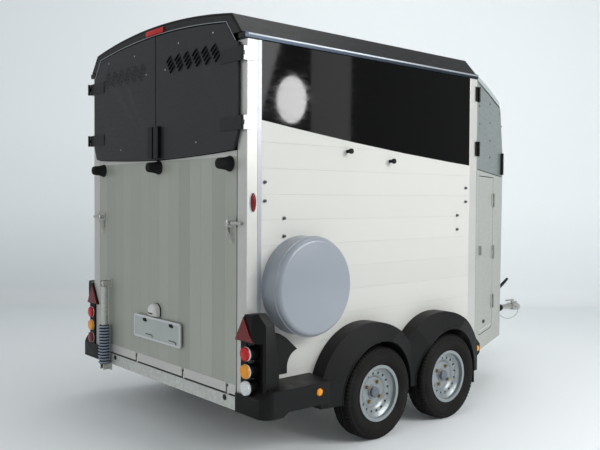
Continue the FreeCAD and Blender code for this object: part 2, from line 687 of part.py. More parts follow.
def spring_gaiter():
    """Ribbed gaiter round the spring, with the lower eye."""
    foot, rib, count = GAITER_FOOT, RIB_PITCH, RIB_COUNT
    rows = [(0, foot - 10)]
    for i in range(count):
        z = foot + rib * i
        rows += [(GAITER_R, z), (GAITER_R, z + rib * 0.55), (GAITER_R - 8, z + rib * 0.7),
                 (GAITER_R - 8, z + rib)]
    rows += [(0, foot + rib * count)]
    face = Part.Face(Part.makePolygon([V(r, 0, z) for r, z in rows + rows[:1]]))
    gaiter = face.revolve(V(0, 0, 0), V(0, 0, 1), 360)
    eye = rod(V(0, -EYE_HALF, 0), V(0, EYE_HALF, 0), EYE_R)
    neck = Part.makeCylinder(EYE_R - 3, foot, V(0, 0, 0))
    piece = fuse([gaiter, neck, eye]).cut(rod(V(0, -EYE_HALF - 6, 0), V(0, EYE_HALF + 6, 0), PIN_R + RUN_FIT))
    piece.translate(V(STRUT_X, STRUT_Y, STRUT_LOW))
    return piece


def spring_bar():
    """Bar above the gaiter with the top eye."""
    low = STRUT_LOW + GAITER_FOOT + RIB_PITCH * RIB_COUNT + 0.3
    tube = Part.makeCylinder(STRUT_TUBE_R, STRUT_TOP - EYE_R - 8 - low, V(0, 0, low))
    eye = rod(V(0, -EYE_HALF, STRUT_TOP), V(0, EYE_HALF, STRUT_TOP), EYE_R)
    neck = Part.makeCylinder(EYE_R - 3, 30, V(0, 0, STRUT_TOP - 30))
    piece = fuse([tube, neck, eye])
    piece = piece.cut(rod(V(0, -EYE_HALF - 6, STRUT_TOP), V(0, EYE_HALF + 6, STRUT_TOP), PIN_R + RUN_FIT))
    piece.translate(V(STRUT_X, STRUT_Y, 0))
    return piece


def strut_bracket(z, x0, x1):
    """Two ears and a pin for one eye of the strut."""
    ears = [box(min(x0, x1), max(x0, x1), STRUT_Y + side * 23 - 5, STRUT_Y + side * 23 + 5, z - 20, z + 20)
            for side in (1, -1)]
    pin = rod(V(STRUT_X, STRUT_Y - 32, z), V(STRUT_X, STRUT_Y + 32, z), PIN_R)
    base = box(x1 - 4 if x1 > x0 else x1, x1 if x1 > x0 else x1 + 4, STRUT_Y - 40, STRUT_Y + 40, z - 30, z + 30)
    return fuse(ears + [pin, base])


# Frame, floor and axles

def frame():
    """Two rails and the cross-members between and beyond them."""
    parts = []
    for side in (1, -1):
        c = side * RAIL_Y
        outer = box(MEMBER_X, DRAWBAR_START, c - RAIL_W / 2, c + RAIL_W / 2, FRAME_LOW, FRAME_TOP)
        parts.append(outer)
    half = BODY_HALF - POST_Y - 3
    parts.append(box(-4, MEMBER_X, -half, half, FRAME_LOW, FRAME_TOP))
    for x in (AXLE_X[0] - 393, AXLE_X[0] + AXLE_GAP / 2, BODY_LEN - 200):
        parts.append(box(x, x + MEMBER_X, -half + 40, half - 40, FRAME_LOW + 12, FRAME_TOP))
    parts.append(strut_bracket(STRUT_LOW, STRUT_X - 20, -4))
    return fuse(parts + ramp_lugs())


def drawbar():
    """Two channels that meet under the coupling."""
    arm = prism(on_z(FRAME_LOW), DRAWBAR_ARM, V(0, 0, FRAME_TOP - FRAME_LOW))
    deck = box(DRAWBAR_END - 60, DRAWBAR_END + 180, -60, 60, FRAME_TOP, FRAME_TOP + 10)
    plate = box(DRAWBAR_END - 40, DRAWBAR_END + 60, -60, 60, FRAME_LOW, FRAME_LOW + 8)
    return fuse([arm, mirror(arm), deck, plate])


def floor():
    """Floor board over the whole body and nose."""
    narrow, wide = BODY_HALF - POST_Y - SEAM, BODY_HALF - WALL_T - SEAM
    front = BODY_LEN - FRONT_POST_X - SEAM
    half = [(RAMP_T + CLEAR + 4, narrow), (POST_X + SEAM, narrow), (POST_X + SEAM, wide), (front, wide),
            (front, narrow), (BODY_LEN, narrow), (NOSE_CORNER_X - 60, NOSE_CORNER_Y - 50)]
    other = [(x, -y) for x, y in reversed(half)]
    points = half + [(NOSE_TIP - 80, 0) + other[0]] + other[1:]
    board = prism(on_z(FLOOR_Z), points, V(0, 0, FLOOR_T))
    for x in AXLE_X:
        for side in (1, -1):
            board = board.cut(rod(V(x, side * (LINER_Y - SEAM), TYRE_R), V(x, side * BODY_HALF, TYRE_R),
                                  ARCH_R + LINER_T + SEAM))
    return board


def axle():
    """Beams, trailing arms and stub axles of both axles."""
    reach = BODY_HALF - 103
    hub = BODY_HALF - 78
    parts = []
    for x in AXLE_X:
        beam_x = x + ARM_LEN
        z = FRAME_LOW - BEAM / 2.0
        beam = box(beam_x - BEAM / 2, beam_x + BEAM / 2, -reach, reach, z - BEAM / 2, z + BEAM / 2)
        pieces = [beam]
        for side in (1, -1):
            pieces.append(rod(V(beam_x, side * (reach - 10), z), V(beam_x, side * hub, z), 38))
            edges = sorted((side * (reach + 2), side * hub))
            pieces.append(box(x - 25, beam_x, edges[0], edges[1], z - 25, z + 30))
            pieces.append(rod(V(x, side * (reach - 10), TYRE_R), V(x, side * (WHEEL_Y - 6), TYRE_R), STUB_R))
            pieces.append(rod(V(x, side * (reach - 2), TYRE_R), V(x, side * hub, TYRE_R), 40))
        parts.append(fuse(pieces))
    return Part.makeCompound(parts)


# Wheels

def revolve_y(points, x, z, y0, sign):
    """Turn a profile of radius and distance along Y about the axle."""
    place = lambda r, d: V(x + r, y0 + sign * d, z)
    face = Part.Face(wire(place, points))
    return face.revolve(V(x, y0, z), V(0, 1, 0), 360)


def tyre(x, sign):
    """Road tyre with rounded shoulders."""
    h = TYRE_W / 2.0
    bead = RIM_W / 2.0 - 9.5
    rows = [(BEAD_R, -bead), (RIM_R + 2, -bead - 4), (RIM_R + 46, -h, TYRE_R - 24, -h + 9),
            (TYRE_R - 9, -h + 17, TYRE_R, -h + 34)]
    rows += [(TYRE_R, h - 34), (TYRE_R - 9, h - 17, TYRE_R - 24, h - 9),
             (RIM_R + 46, h, RIM_R + 2, bead + 4), (BEAD_R, bead)]
    return revolve_y(rows, x, TYRE_R, sign * WHEEL_Y, sign)


def rim(x, sign):
    """Steel wheel with its disc, hub and cap."""
    h = RIM_W / 2.0
    seat, inner = BEAD_R - 0.4, BEAD_R - 6
    barrel = [(RIM_R, h), (RIM_R, h - 4), (seat, h - 8), (seat, h - 26), (WELL_R, h - 40),
              (WELL_R, -h + 44), (seat, -h + 26), (seat, -h + 8), (RIM_R, -h + 4), (RIM_R, -h),
              (inner, -h), (inner, -h + 24), (WELL_R - 4, -h + 46), (WELL_R - 4, h - 42),
              (inner, h - 28), (inner, h - 2)]
    disc = [(WELL_R - 2, 26), (WELL_R - 2, 20), (WELL_R - 22, 8), (WELL_R - 44, 2), (HUB_R - 2, 2),
            (HUB_R - 2, 10), (WELL_R - 46, 10), (WELL_R - 30, 22, WELL_R - 12, 27)]
    pieces = [revolve_y(profile, x, TYRE_R, sign * WHEEL_Y, sign) for profile in (barrel, disc)]
    pieces.append(rod(V(x, sign * (LINER_Y - 8), TYRE_R), V(x, sign * (CAP_Y - 18), TYRE_R), HUB_R))
    pieces.append(rod(V(x, sign * (CAP_Y - 20), TYRE_R), V(x, sign * CAP_Y, TYRE_R), CAP_R))
    drum = (LINER_Y + LINER_T + CLEAR, WHEEL_Y - 60)
    pieces.append(rod(V(x, sign * drum[0], TYRE_R), V(x, sign * drum[1], TYRE_R), DRUM_R))
    body = fuse(pieces)
    ring = WELL_R - 16
    for i in range(HOLE_COUNT):
        a = 2 * math.pi * i / HOLE_COUNT + math.radians(8)
        c = V(x + ring * math.cos(a), 0, TYRE_R + ring * math.sin(a))
        body = body.cut(rod(V(c.x, sign * (WHEEL_Y - 4), c.z), V(c.x, sign * (WHEEL_Y + 40), c.z), HOLE_R))
    bore = rod(V(x, sign * (LINER_Y - 21), TYRE_R), V(x, sign * (WHEEL_Y - 4), TYRE_R), STUB_R + RUN_FIT)
    return body.cut(bore)


# Fenders

def arch_outline(x):
    """Side view of one fender: long skirt behind, crown, short end in front."""
    a, z = ARCH_R, TYRE_R
    return [(x - a - SKIRT_BACK, FENDER_LOW), (x - a - SKIRT_BACK, z + 30),
            (x - a - 44, z + a + 1, x - 73, z + a + CROWN),
            (x + a - 148, z + a + 58, x + a + SKIRT_FRONT, z + 187), (x + a + SKIRT_FRONT, FENDER_LOW)]


def fender_cover(x, tuck):
    """One filled fender: crown and a conical outer face that ends at the lip.
    Its front end runs inward, and its skirt by tuck."""
    depth = FENDER_OUT - SEAM
    crown = prism(on_y(FACE), arch_outline(x), V(0, depth, 0))
    wide, lip = ARCH_R + 300, ARCH_R + 8
    cone = revolve_y([(0, 0), (wide, 0), (wide, depth - (wide - lip) * CONE_SLOPE), (lip, depth), (0, depth)],
                     x, TYRE_R, FACE, 1)
    cover = crown.common(cone)
    out, front, rear = FENDER_HALF, x + ARCH_R + SKIRT_FRONT + 20, x - ARCH_R - SKIRT_BACK - 20
    for start, end, inward in ((x + 90, front, 60.0), (x - 230, rear, tuck)):
        beyond = [(start, out + 1), (end, out - inward), (end, out + 50), (start, out + 50)]
        cover = cover.cut(prism(on_z(0), beyond, V(0, 0, 1200)))
    return cover


def fender():
    """Both fenders on the left as one moulding with its wheel boxes."""
    covers = [fender_cover(AXLE_X[0], 34.0), fender_cover(AXLE_X[1], 104.0)]
    for x in AXLE_X:
        covers.append(rod(V(x, LINER_Y, TYRE_R), V(x, FACE, TYRE_R), ARCH_R + LINER_T))
    piece = fuse(covers)
    for x in AXLE_X:
        piece = piece.cut(rod(V(x, LINER_Y + LINER_T, TYRE_R), V(x, FENDER_HALF + 10, TYRE_R), ARCH_R))
        piece = piece.cut(box(x - ARCH_R, x + ARCH_R, LINER_Y + LINER_T, FENDER_HALF + 10, 0, TYRE_R))
        piece = piece.cut(box(x - ARCH_R - 63, x + ARCH_R + 63, LINER_Y - 1, FACE, -TYRE_R, FLOOR_UP + SEAM))
    return piece


def mudflap():
    """Rubber flap under the front of the left front arch."""
    x = AXLE_X[1] + ARCH_R + 20
    return box(x, x + 6, BODY_HALF + 10, FENDER_HALF - 62, 190, FENDER_LOW - 0.3)


# Lamps and bumpers at the rear


def lamp_housing():
    """Left housing: hood, recess with three lamp tubes, outer wall and bumper."""
    back, front = -HOUSING_REAR, HOUSING_LEN
    outer = HOUSING_OUT - SEAM
    rear_view = [(FACE, BUMPER_LOW), (FACE, HOUSING_TOP - 12), (FACE + outer - 39, HOUSING_TOP),
                 (FACE + outer, HOUSING_TOP - 67), (FACE + outer, BUMPER_LOW)]
    side_view = [(back, BUMPER_LOW), (back, HOUSING_TOP - 12), (10, HOUSING_TOP + 5), (62, HOUSING_TOP),
                 (92, HOUSING_TOP - 60), (front, 600), (front, BUMPER_LOW)]
    hood = prism(on_x(back), rear_view, V(front - back, 0, 0))
    hood = hood.common(prism(on_y(FACE), side_view, V(0, outer, 0)))
    floor_z = BUMPER_TOP - 44
    bevel = prism(on_z(floor_z), [(back - 6, FACE + 66), (back, FACE + 66), (34, FACE + outer + 1),
                                  (back - 6, FACE + outer + 1)], V(0, 0, HOUSING_TOP - floor_z + 20))
    recess = box(back - 1, 58, FACE - 1, FACE + outer - HOUSING_WALL, floor_z, RECESS_TOP)
    hood = hood.cut(bevel).cut(recess)
    tubes = []
    for z in LAMP_Z:
        tubes.append(rod(V(-8.3, LAMP_Y, z), V(60, LAMP_Y, z), LAMP_R + 1)
                     .common(box(-9, 61, FACE, FACE + outer, z - 60, z + 60)))
    sill = BUMPER_OUT - SEAM
    end = LAMP_ROOM - SEAM
    bumper = prism(on_x(back), [(FACE, BUMPER_LOW), (FACE, BUMPER_TOP + 13), (FACE + sill, BUMPER_TOP),
                                (FACE + sill, BUMPER_LOW)], V(end - back, 0, 0))
    bumper = bumper.common(prism(on_y(FACE), [
        (back, BUMPER_LOW), (back, BUMPER_TOP - 44), (50, BUMPER_TOP), (60, BUMPER_TOP + 20),
        (end, BUMPER_TOP + 20), (end, BUMPER_LOW + 22), (165, BUMPER_LOW + 25), (120, BUMPER_LOW)],
        V(0, sill, 0)))
    bumper = bumper.cut(prism(on_z(BUMPER_LOW - 1), [
        (back - 6, FACE + sill - 61), (back, FACE + sill - 61), (10, FACE + sill - 21, 75, FACE + sill + 1),
        (back - 6, FACE + sill + 1)], V(0, 0, 200)))
    corner = box(back, -5, BODY_HALF - POST_Y + 2, BODY_HALF + 20, BUMPER_LOW, BUMPER_TOP - 44)
    strip = box(back, -2, BODY_HALF - 33, BODY_HALF + 20, floor_z, RECESS_TOP + 3)
    badge_back = prism(on_x(back), reflector_outline(6.0), V(HOUSING_REAR - 2, 0, 0))
    piece = fuse([hood, bumper, corner, strip, badge_back] + tubes)
    for z in LAMP_Z:
        piece = piece.cut(rod(V(back - 6, LAMP_Y, z), V(-8, LAMP_Y, z), LAMP_R + 2))
    return piece


def tail_lamps():
    """Three round lenses on the left."""
    return [rod(V(-LAMP_OUT, LAMP_Y, z), V(-8.3, LAMP_Y, z), LAMP_R) for z in LAMP_Z]


def reflector_outline(grow):
    """Corners of the triangle beside the lamps, in the rear view."""
    low = RECESS_TOP + 7 - grow * 0.6
    return [(BODY_HALF - 81 - grow, low), (BODY_HALF + 77 + grow, low), (BODY_HALF - 2, RECESS_TOP + 145 + grow)]


def reflector():
    """Red triangle over the lamps."""
    return prism(on_x(-HOUSING_REAR - 8), reflector_outline(0.0), V(7.7, 0, 0))


def side_markers():
    """Orange lamps on the bumper and at the front, red one on the post."""
    rear = rod(V(LAMP_ROOM - 88, BODY_HALF + BUMPER_OUT, 420), V(LAMP_ROOM - 88, BODY_HALF + WIDEST, 420), 22)
    red = box(28, 58, BODY_HALF, BODY_HALF + 12, 1471, 1584)
    front = rod(V(BODY_LEN - 40, BODY_HALF + 47, 430), V(BODY_LEN - 40, BODY_HALF + 61, 430), 22)
    return [rear, red, front]


def front_marker_bracket():
    """Black bracket that carries the front marker."""
    x = BODY_LEN
    return prism(on_y(BODY_HALF), [(x - 78, 380), (x - 78, 500), (x - 40, 500), (x - 2, 462), (x - 2, 395),
                                   (x - 25, 375)], V(0, 47, 0))


def door_holdbacks():
    """Rubber knobs on the left wall that meet the opened doors."""
    knobs = []
    for x, z in ((AXLE_X[0] - 193, WINDOW_MID_Z - 36), (AXLE_X[0] + 213, WINDOW_MID_Z - 84)):
        knobs.append(fuse([rod(V(x, FACE, z), V(x, FACE + 34, z), 11),
                           rod(V(x, FACE + 30, z), V(x, FACE + 45, z), 17)]))
    return knobs


def spare_cover():
    """Domed round cover on the right wall."""
    depth = WIDEST - SEAM
    flat, rise = SPARE_R - 30, 22.0
    sphere = (flat ** 2 + rise ** 2) / (2 * rise)
    bulge = depth - sphere + math.sqrt(sphere ** 2 - (flat / 2.0) ** 2)
    points = [(0, 0), (SPARE_R, 0), (SPARE_R, depth - 60), (SPARE_R - 9, depth - 31, flat, depth - rise),
              (flat / 2.0, bulge, 0, depth)]
    face = Part.Face(wire(lambda r, d: V(SPARE_X + r, -FACE - d, SPARE_Z), points))
    return face.revolve(V(SPARE_X, -FACE, SPARE_Z), V(0, 1, 0), 360)


def wheel_chock():
    """Wedge that hangs between the lamp housing and the fender on the left."""
    x = HOUSING_LEN + 4
    return prism(on_y(FACE), [(x, 530), (x, 766), (x + 61, 768), (x + 111, 738), (x + 196, 664),
                              (x + 128, 612, x + 116, 562), (x + 116, 530)], V(0, 66, 0))


def high_lamp():
    """Brake lamp on the roof's rear edge."""
    return box(-ROOF_TAIL - 14, -ROOF_TAIL - 0.3, -110, 110, ROOF_MID - 57, ROOF_MID - 21)


# Inside

def partition():
    """Centre partition between the two stalls."""
    top = RAMP_TOP + 207
    front = BODY_LEN - 290
    panel = box(330, front, -15, 15, FLOOR_UP + 484, top - 50)
    post = box(front, front + 40, -20, 20, FLOOR_UP, top)
    rear = box(290, 330, -20, 20, FLOOR_UP, top)
    return fuse([panel, post, rear])


def stall_bars():
    """Breast and breeching bars across each stall."""
    parts = []
    for x, z in ((310.0, 1385.0), (BODY_LEN - 270, 1385.0)):
        for side in (1, -1):
            parts.append(rod(V(x, side * 20.3, z), V(x, side * (BODY_HALF - WALL_T - 0.4), z), 20))
    return Part.makeCompound(parts)


# Coupling and jockey wheel

def coupling_head():
    """Overrun head: housing, bellows over the drawtube, and ball socket."""
    base = FRAME_TOP + 10
    housing = box(DRAWBAR_END - 40, DRAWBAR_END + 170, -48, 48, base, base + 74)
    tube = rod(V(DRAWBAR_END + 100, 0, COUPLING_Z + 18), V(COUPLING_X - 50, 0, COUPLING_Z + 18), 28)
    head = rod(V(COUPLING_X, 0, COUPLING_Z - 26), V(COUPLING_X, 0, COUPLING_Z + 34), 38)
    neck = box(COUPLING_X - 90, COUPLING_X, -34, 34, COUPLING_Z - 18, COUPLING_Z + 46)
    nose = prism(on_z(COUPLING_Z - 18), [(COUPLING_X, -36), (COUPLING_X + 40, -30),
                                         (COUPLING_X + COUPLING_NOSE, 0, COUPLING_X + 40, 30), (COUPLING_X, 36)],
                 V(0, 0, 44))
    ribs = [(0, 0), (30, 0)]
    for i in range(6):
        ribs += [(37, 12 + 22 * i), (30, 22 + 22 * i)]
    ribs += [(30, 144), (0, 144)]
    start = V(DRAWBAR_END + 165, 0, COUPLING_Z + 18)
    face = Part.Face(Part.makePolygon([start + V(d, 0, r) for r, d in ribs + ribs[:1]]))
    bellows = face.revolve(start, V(1, 0, 0), 360)
    piece = fuse([housing, tube, head, neck, nose, bellows])
    socket = Part.makeSphere(BALL_R + 0.5, V(COUPLING_X, 0, COUPLING_Z))
    mouth = Part.makeCylinder(BALL_R + 0.5, 60, V(COUPLING_X, 0, COUPLING_Z - 60))
    return piece.cut(socket).cut(mouth)


def coupling_handle():
    """Handle over the coupling head."""
    return fuse([box(COUPLING_X - 70, COUPLING_X + 20, -9, 9, COUPLING_Z + 46, COUPLING_Z + 62),
                 box(COUPLING_X - 70, COUPLING_X - 40, -9, 9, COUPLING_Z + 46, COUPLING_Z + 80),
                 box(COUPLING_X - 160, COUPLING_X - 40, -12, 12, COUPLING_Z + 72, COUPLING_Z + 88)])


def brake_lever():
    """Parking brake lever on the housing."""
    base = FRAME_TOP + 84
    foot = box(DRAWBAR_END + 40, DRAWBAR_END + 110, 48.3, 61, base - 50, base + 30)
    bar = rod(V(DRAWBAR_END + 90, 55, base + 10), V(DRAWBAR_END + 510, 55, base + 248), 11)
    return fuse([foot, bar])


def jockey_clamp():
    """Clamp and outer tube of the jockey wheel."""
    tube = Part.makeCylinder(JOCKEY_TUBE_R, 520, V(JOCKEY_X, JOCKEY_Y, 240))
    tube = tube.cut(Part.makeCylinder(JOCKEY_TUBE_R - 4, 600, V(JOCKEY_X, JOCKEY_Y, 200)))
    cap = Part.makeCylinder(JOCKEY_TUBE_R - 2, 20, V(JOCKEY_X, JOCKEY_Y, 745))
    crank = rod(V(JOCKEY_X, JOCKEY_Y, 755), V(JOCKEY_X - 110, JOCKEY_Y, 800), 7)
    knob = rod(V(JOCKEY_X - 104, JOCKEY_Y, 798), V(JOCKEY_X - 104, JOCKEY_Y, 868), 12)
    arm = box(JOCKEY_X - 30, JOCKEY_X + 30, arm_side(JOCKEY_X - 30) + 0.3, JOCKEY_Y - JOCKEY_TUBE_R + 2,
              FRAME_LOW + 10, FRAME_TOP - 4)
    return fuse([tube, cap, crank, knob, arm])


def jockey_fork():
    """Inner stem and fork of the jockey wheel."""
    stem = Part.makeCylinder(JOCKEY_TUBE_R - 4 - RUN_FIT, 500 - 232, V(JOCKEY_X, JOCKEY_Y, 222))
    top = box(JOCKEY_X - JOCKEY_TRAIL - 20, JOCKEY_X + 24, JOCKEY_Y - 40, JOCKEY_Y + 40, 214, 224)
    pieces = [stem, top]
    for side in (1, -1):
        y = JOCKEY_Y + side * 38
        x = JOCKEY_X - JOCKEY_TRAIL
        pieces.append(prism(on_y(y - 3), [(x - 18, JOCKEY_R - 4), (x, JOCKEY_R - 20, x + 18, JOCKEY_R - 4),
                                          (x + 60, 216), (x - 20, 216)], V(0, 6, 0)))
    x = JOCKEY_X - JOCKEY_TRAIL
    pieces.append(rod(V(x, JOCKEY_Y - 44, JOCKEY_R), V(x, JOCKEY_Y + 44, JOCKEY_R), 8))
    return fuse(pieces)


def jockey_wheel():
    """Solid rubber wheel of the jockey."""
    x = JOCKEY_X - JOCKEY_TRAIL
    h = JOCKEY_W / 2.0
    points = [(8 + RUN_FIT, -h), (JOCKEY_R - 30, -h), (JOCKEY_R - 26, -h + 4), (JOCKEY_R - 10, -h + 6),
              (JOCKEY_R, -h + 18), (JOCKEY_R, h - 18), (JOCKEY_R - 10, h - 6), (JOCKEY_R - 26, h - 4),
              (JOCKEY_R - 30, h), (8 + RUN_FIT, h)]
    return revolve_y(points, x, JOCKEY_R, JOCKEY_Y, 1)


CABLE_ROUTE = (
    V(4206, -34.3, 448), V(4206, -60, 448), V(4196, -84, 430), V(4166, -98, 398), V(4120, -104, 372),
    V(4060, -106, 355), V(3998, -104, 349), V(3940, -102, 356), V(3896, -101, 371), V(3868, -98, 389),
    V(3858, -82, 397), V(3858, -60.3, 397),
)
CABLE_R = 2.5


def cable():
    """Breakaway cable: straight runs joined by tangent arcs."""
    route = CABLE_ROUTE
    edges = []
    here = route[0]
    for a, b, c in zip(route, route[1:], route[2:]):
        u, v = (b - a), (c - b)
        turn = u.getAngle(v)
        cut = 0.45 * min(u.Length, v.Length)
        start = b - u * (cut / u.Length)
        end = b + v * (cut / v.Length)
        radius = cut / math.tan(turn / 2.0)
        print("cable arc radius %.0f mm, turn %.0f degrees" % (radius, math.degrees(turn)))
        inward = (start + end) * 0.5 - b
        inward.normalize()
        middle = b + inward * (radius / math.cos(turn / 2.0) - radius)
        edges.append(Part.LineSegment(here, start).toShape())
        edges.append(Part.Arc(start, middle, end).toShape())
        here = end
    edges.append(Part.LineSegment(here, route[-1]).toShape())
    path = Part.Wire(edges)
    ring = Part.Wire([Part.Circle(route[0], route[1] - route[0], CABLE_R).toShape()])
    tube = path.makePipeShell([ring], True, False)
    print("cable length %.0f mm, volume over section times length %.4f"
          % (path.Length, tube.Volume / (path.Length * math.pi * CABLE_R ** 2)))
    return tube


def build():
    """Every node by name."""
    cap, panel, front = nose_pieces()
    upper_fixed, upper_moving = nose_hinges(UPPER_HINGE_S, UPPER_HINGE_Z, False, 110.0)
    lower_fixed, lower_moving = nose_hinges(LOWER_HINGE_S, LOWER_HINGE_Z, True, 110.0)
    top_fixed, top_moving = top_hinges()
    nodes = {
        "chassis_frame": frame(),
        "drawbar": drawbar(),
        "floor": floor(),
        "axles": axle(),
        "side_walls": both(side_wall()),
        "side_windows": both(side_window()),
        "corner_posts": Part.makeCompound([both(corner_post(0, POST_X)),
                                           both(corner_post(BODY_LEN - FRONT_POST_X, BODY_LEN))]),
        "roof_rails": both(roof_rail()),
        "roof": roof(),
        "rear_header": rear_arch(),
        "nose_cap": cap,
        "nose_sides": both(panel),
        "nose_front": front,
        "ramp": ramp(),
        "ramp_stops": ramp_stops(),
        "ramp_hardware": Part.makeCompound([ramp_latches(), strut_bracket(STRUT_TOP, STRUT_X - 20, 0)]),
        "plate_holder": plate_holder(),
        "plate_lamp": plate_lamp(),
        "spring_gaiter": spring_gaiter(),
        "spring_bar": spring_bar(),
        "partition": partition(),
        "stall_bars": stall_bars(),
        "fenders": both(fender()),
        "lamp_housings": both(lamp_housing()),
        "tail_lamps": Part.makeCompound([both(part) for part in tail_lamps()] + [high_lamp()]),
        "reflectors": both(reflector()),
        "mudflaps": both(mudflap()),
        "side_markers": Part.makeCompound([both(part) for part in side_markers()]),
        "marker_brackets": both(front_marker_bracket()),
        "wheel_chocks": both(wheel_chock()),
        "door_holdbacks": Part.makeCompound([both(part) for part in door_holdbacks()]),
        "spare_cover": spare_cover(),
        "body_hinges": Part.makeCompound([both(part) for part in upper_fixed + lower_fixed + top_fixed]),
        "coupling_head": coupling_head(),
        "coupling_handle": coupling_handle(),
        "brake_lever": brake_lever(),
        "jockey_clamp": jockey_clamp(),
        "jockey_fork": jockey_fork(),
        "jockey_wheel": jockey_wheel(),
        "breakaway_cable": cable(),
    }
    for side, turn in (("left", lambda shape: shape), ("right", mirror)):
        nodes["top_door_" + side] = turn(top_door())
        nodes["top_door_fittings_" + side] = Part.makeCompound(
            [turn(part) for part in top_moving + [top_handle(8, 66)]])
        nodes["nose_upper_door_" + side] = turn(nose_upper_door())
        nodes["nose_upper_fittings_" + side] = Part.makeCompound(
            [turn(part) for part in upper_moving + [handle_bar(860, 1762, 1946)]])
        nodes["nose_lower_door_" + side] = turn(nose_lower_door())
        nodes["nose_lower_fittings_" + side] = Part.makeCompound(
            [turn(part) for part in lower_moving + [handle_bar(112, 1120, 1190)]])
    for name, x in zip(("rear", "front"), AXLE_X):
        for side, sign in (("left", 1), ("right", -1)):
            nodes["tyre_%s_%s" % (name, side)] = tyre(x, sign)
            nodes["rim_%s_%s" % (name, side)] = rim(x, sign)
    return nodes


def write(nodes):
    """One file per node, moved so the origin is under the middle."""
    os.makedirs("parts", exist_ok=True)
    for name, shape in nodes.items():
        placed = shape.translated(V(-MIDDLE_X, 0, 0))
        placed.exportStep("parts/%s.step" % name)
        bounds = placed.BoundBox
        print("%-26s %2d solids %8.1f cm3 valid %s x %.0f..%.0f y %.0f..%.0f z %.0f..%.0f" % (
            name, len(placed.Solids), placed.Volume / 1000.0, placed.isValid(), bounds.XMin, bounds.XMax,
            bounds.YMin, bounds.YMax, bounds.ZMin, bounds.ZMax))


write(build())
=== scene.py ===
"""Looks of a two-horse trailer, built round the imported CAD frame.

Metres. X runs forward, Y to the left, Z up from the floor. Places that come from
the CAD source are written in millimetres from the rear posts and pass through at().
"""

import json
import logging
import math
from dataclasses import dataclass
from enum import Enum

import bmesh
import bpy
import numpy as np
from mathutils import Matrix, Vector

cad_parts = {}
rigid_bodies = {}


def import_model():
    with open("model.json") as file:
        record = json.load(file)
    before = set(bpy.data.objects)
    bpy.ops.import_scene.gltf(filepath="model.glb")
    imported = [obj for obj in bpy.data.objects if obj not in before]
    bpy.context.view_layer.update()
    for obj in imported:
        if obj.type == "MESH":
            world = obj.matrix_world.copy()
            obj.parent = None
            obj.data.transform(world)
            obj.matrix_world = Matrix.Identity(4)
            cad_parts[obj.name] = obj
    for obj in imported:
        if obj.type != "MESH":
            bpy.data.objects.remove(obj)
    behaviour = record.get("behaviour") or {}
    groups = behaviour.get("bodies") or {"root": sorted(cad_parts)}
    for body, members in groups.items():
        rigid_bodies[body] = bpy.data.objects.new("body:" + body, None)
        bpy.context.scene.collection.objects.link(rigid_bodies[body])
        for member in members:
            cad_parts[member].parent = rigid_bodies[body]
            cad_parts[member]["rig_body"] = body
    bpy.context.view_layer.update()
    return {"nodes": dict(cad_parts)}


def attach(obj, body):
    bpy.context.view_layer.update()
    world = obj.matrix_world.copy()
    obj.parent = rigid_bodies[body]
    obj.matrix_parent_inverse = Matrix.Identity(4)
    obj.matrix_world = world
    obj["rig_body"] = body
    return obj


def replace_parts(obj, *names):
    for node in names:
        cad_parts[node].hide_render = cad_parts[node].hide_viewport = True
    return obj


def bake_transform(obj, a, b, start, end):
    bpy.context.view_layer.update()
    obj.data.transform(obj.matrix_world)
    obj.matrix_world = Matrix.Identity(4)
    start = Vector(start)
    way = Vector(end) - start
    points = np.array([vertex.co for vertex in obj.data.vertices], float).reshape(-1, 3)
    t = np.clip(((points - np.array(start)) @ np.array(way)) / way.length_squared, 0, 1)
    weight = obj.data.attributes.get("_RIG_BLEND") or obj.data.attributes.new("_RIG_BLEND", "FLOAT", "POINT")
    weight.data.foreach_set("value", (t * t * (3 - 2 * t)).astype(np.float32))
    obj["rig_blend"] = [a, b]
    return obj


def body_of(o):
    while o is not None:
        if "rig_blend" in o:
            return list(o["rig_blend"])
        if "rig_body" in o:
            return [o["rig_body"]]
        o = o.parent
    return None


LOG = logging.getLogger("trailer")
MIDDLE_X = 2125.0             # from the rear posts forward to the frame's origin
SIDES = {"left": 1.0, "right": -1.0}
AXLE_X = {"rear": 993.0, "front": 1713.0}
BACKWARD = (-1.0, 0.0, 0.0)
SHARP = math.radians(32)      # a steeper edge stays sharp
Socket = bpy.types.NodeSocket
Pair = tuple[float, float]
Triple = tuple[float, float, float]


def at(x: float, y: float, z: float) -> np.ndarray:
    """A place in millimetres from the rear posts, as metres in the part's frame."""
    return np.array([(x - MIDDLE_X) / 1000.0, y / 1000.0, z / 1000.0])


def linear(colour: Triple, factor: float = 1.0, lift: float = 0.0) -> tuple[float, float, float, float]:
    """Turn a screen colour into the linear colour that a shader takes.

    Args:
        colour: red, green and blue from 0 to 1 as seen on a screen.
        factor: what each linear channel is multiplied by.
        lift: what is added to it then.

    Returns:
        Linear red, green, blue and 1; below 0.04045 a channel is divided by 12.92,
        above it is ((c + 0.055) / 1.055) to the power 2.4. Each is held from 0 to 1.
    """
    channel = np.array(colour)
    low, high = channel / 12.92, ((channel + 0.055) / 1.055) ** 2.4
    shade = np.where(channel <= 0.04045, low, high) * factor + lift
    return (*np.clip(shade, 0.0, 1.0).tolist(), 1.0)


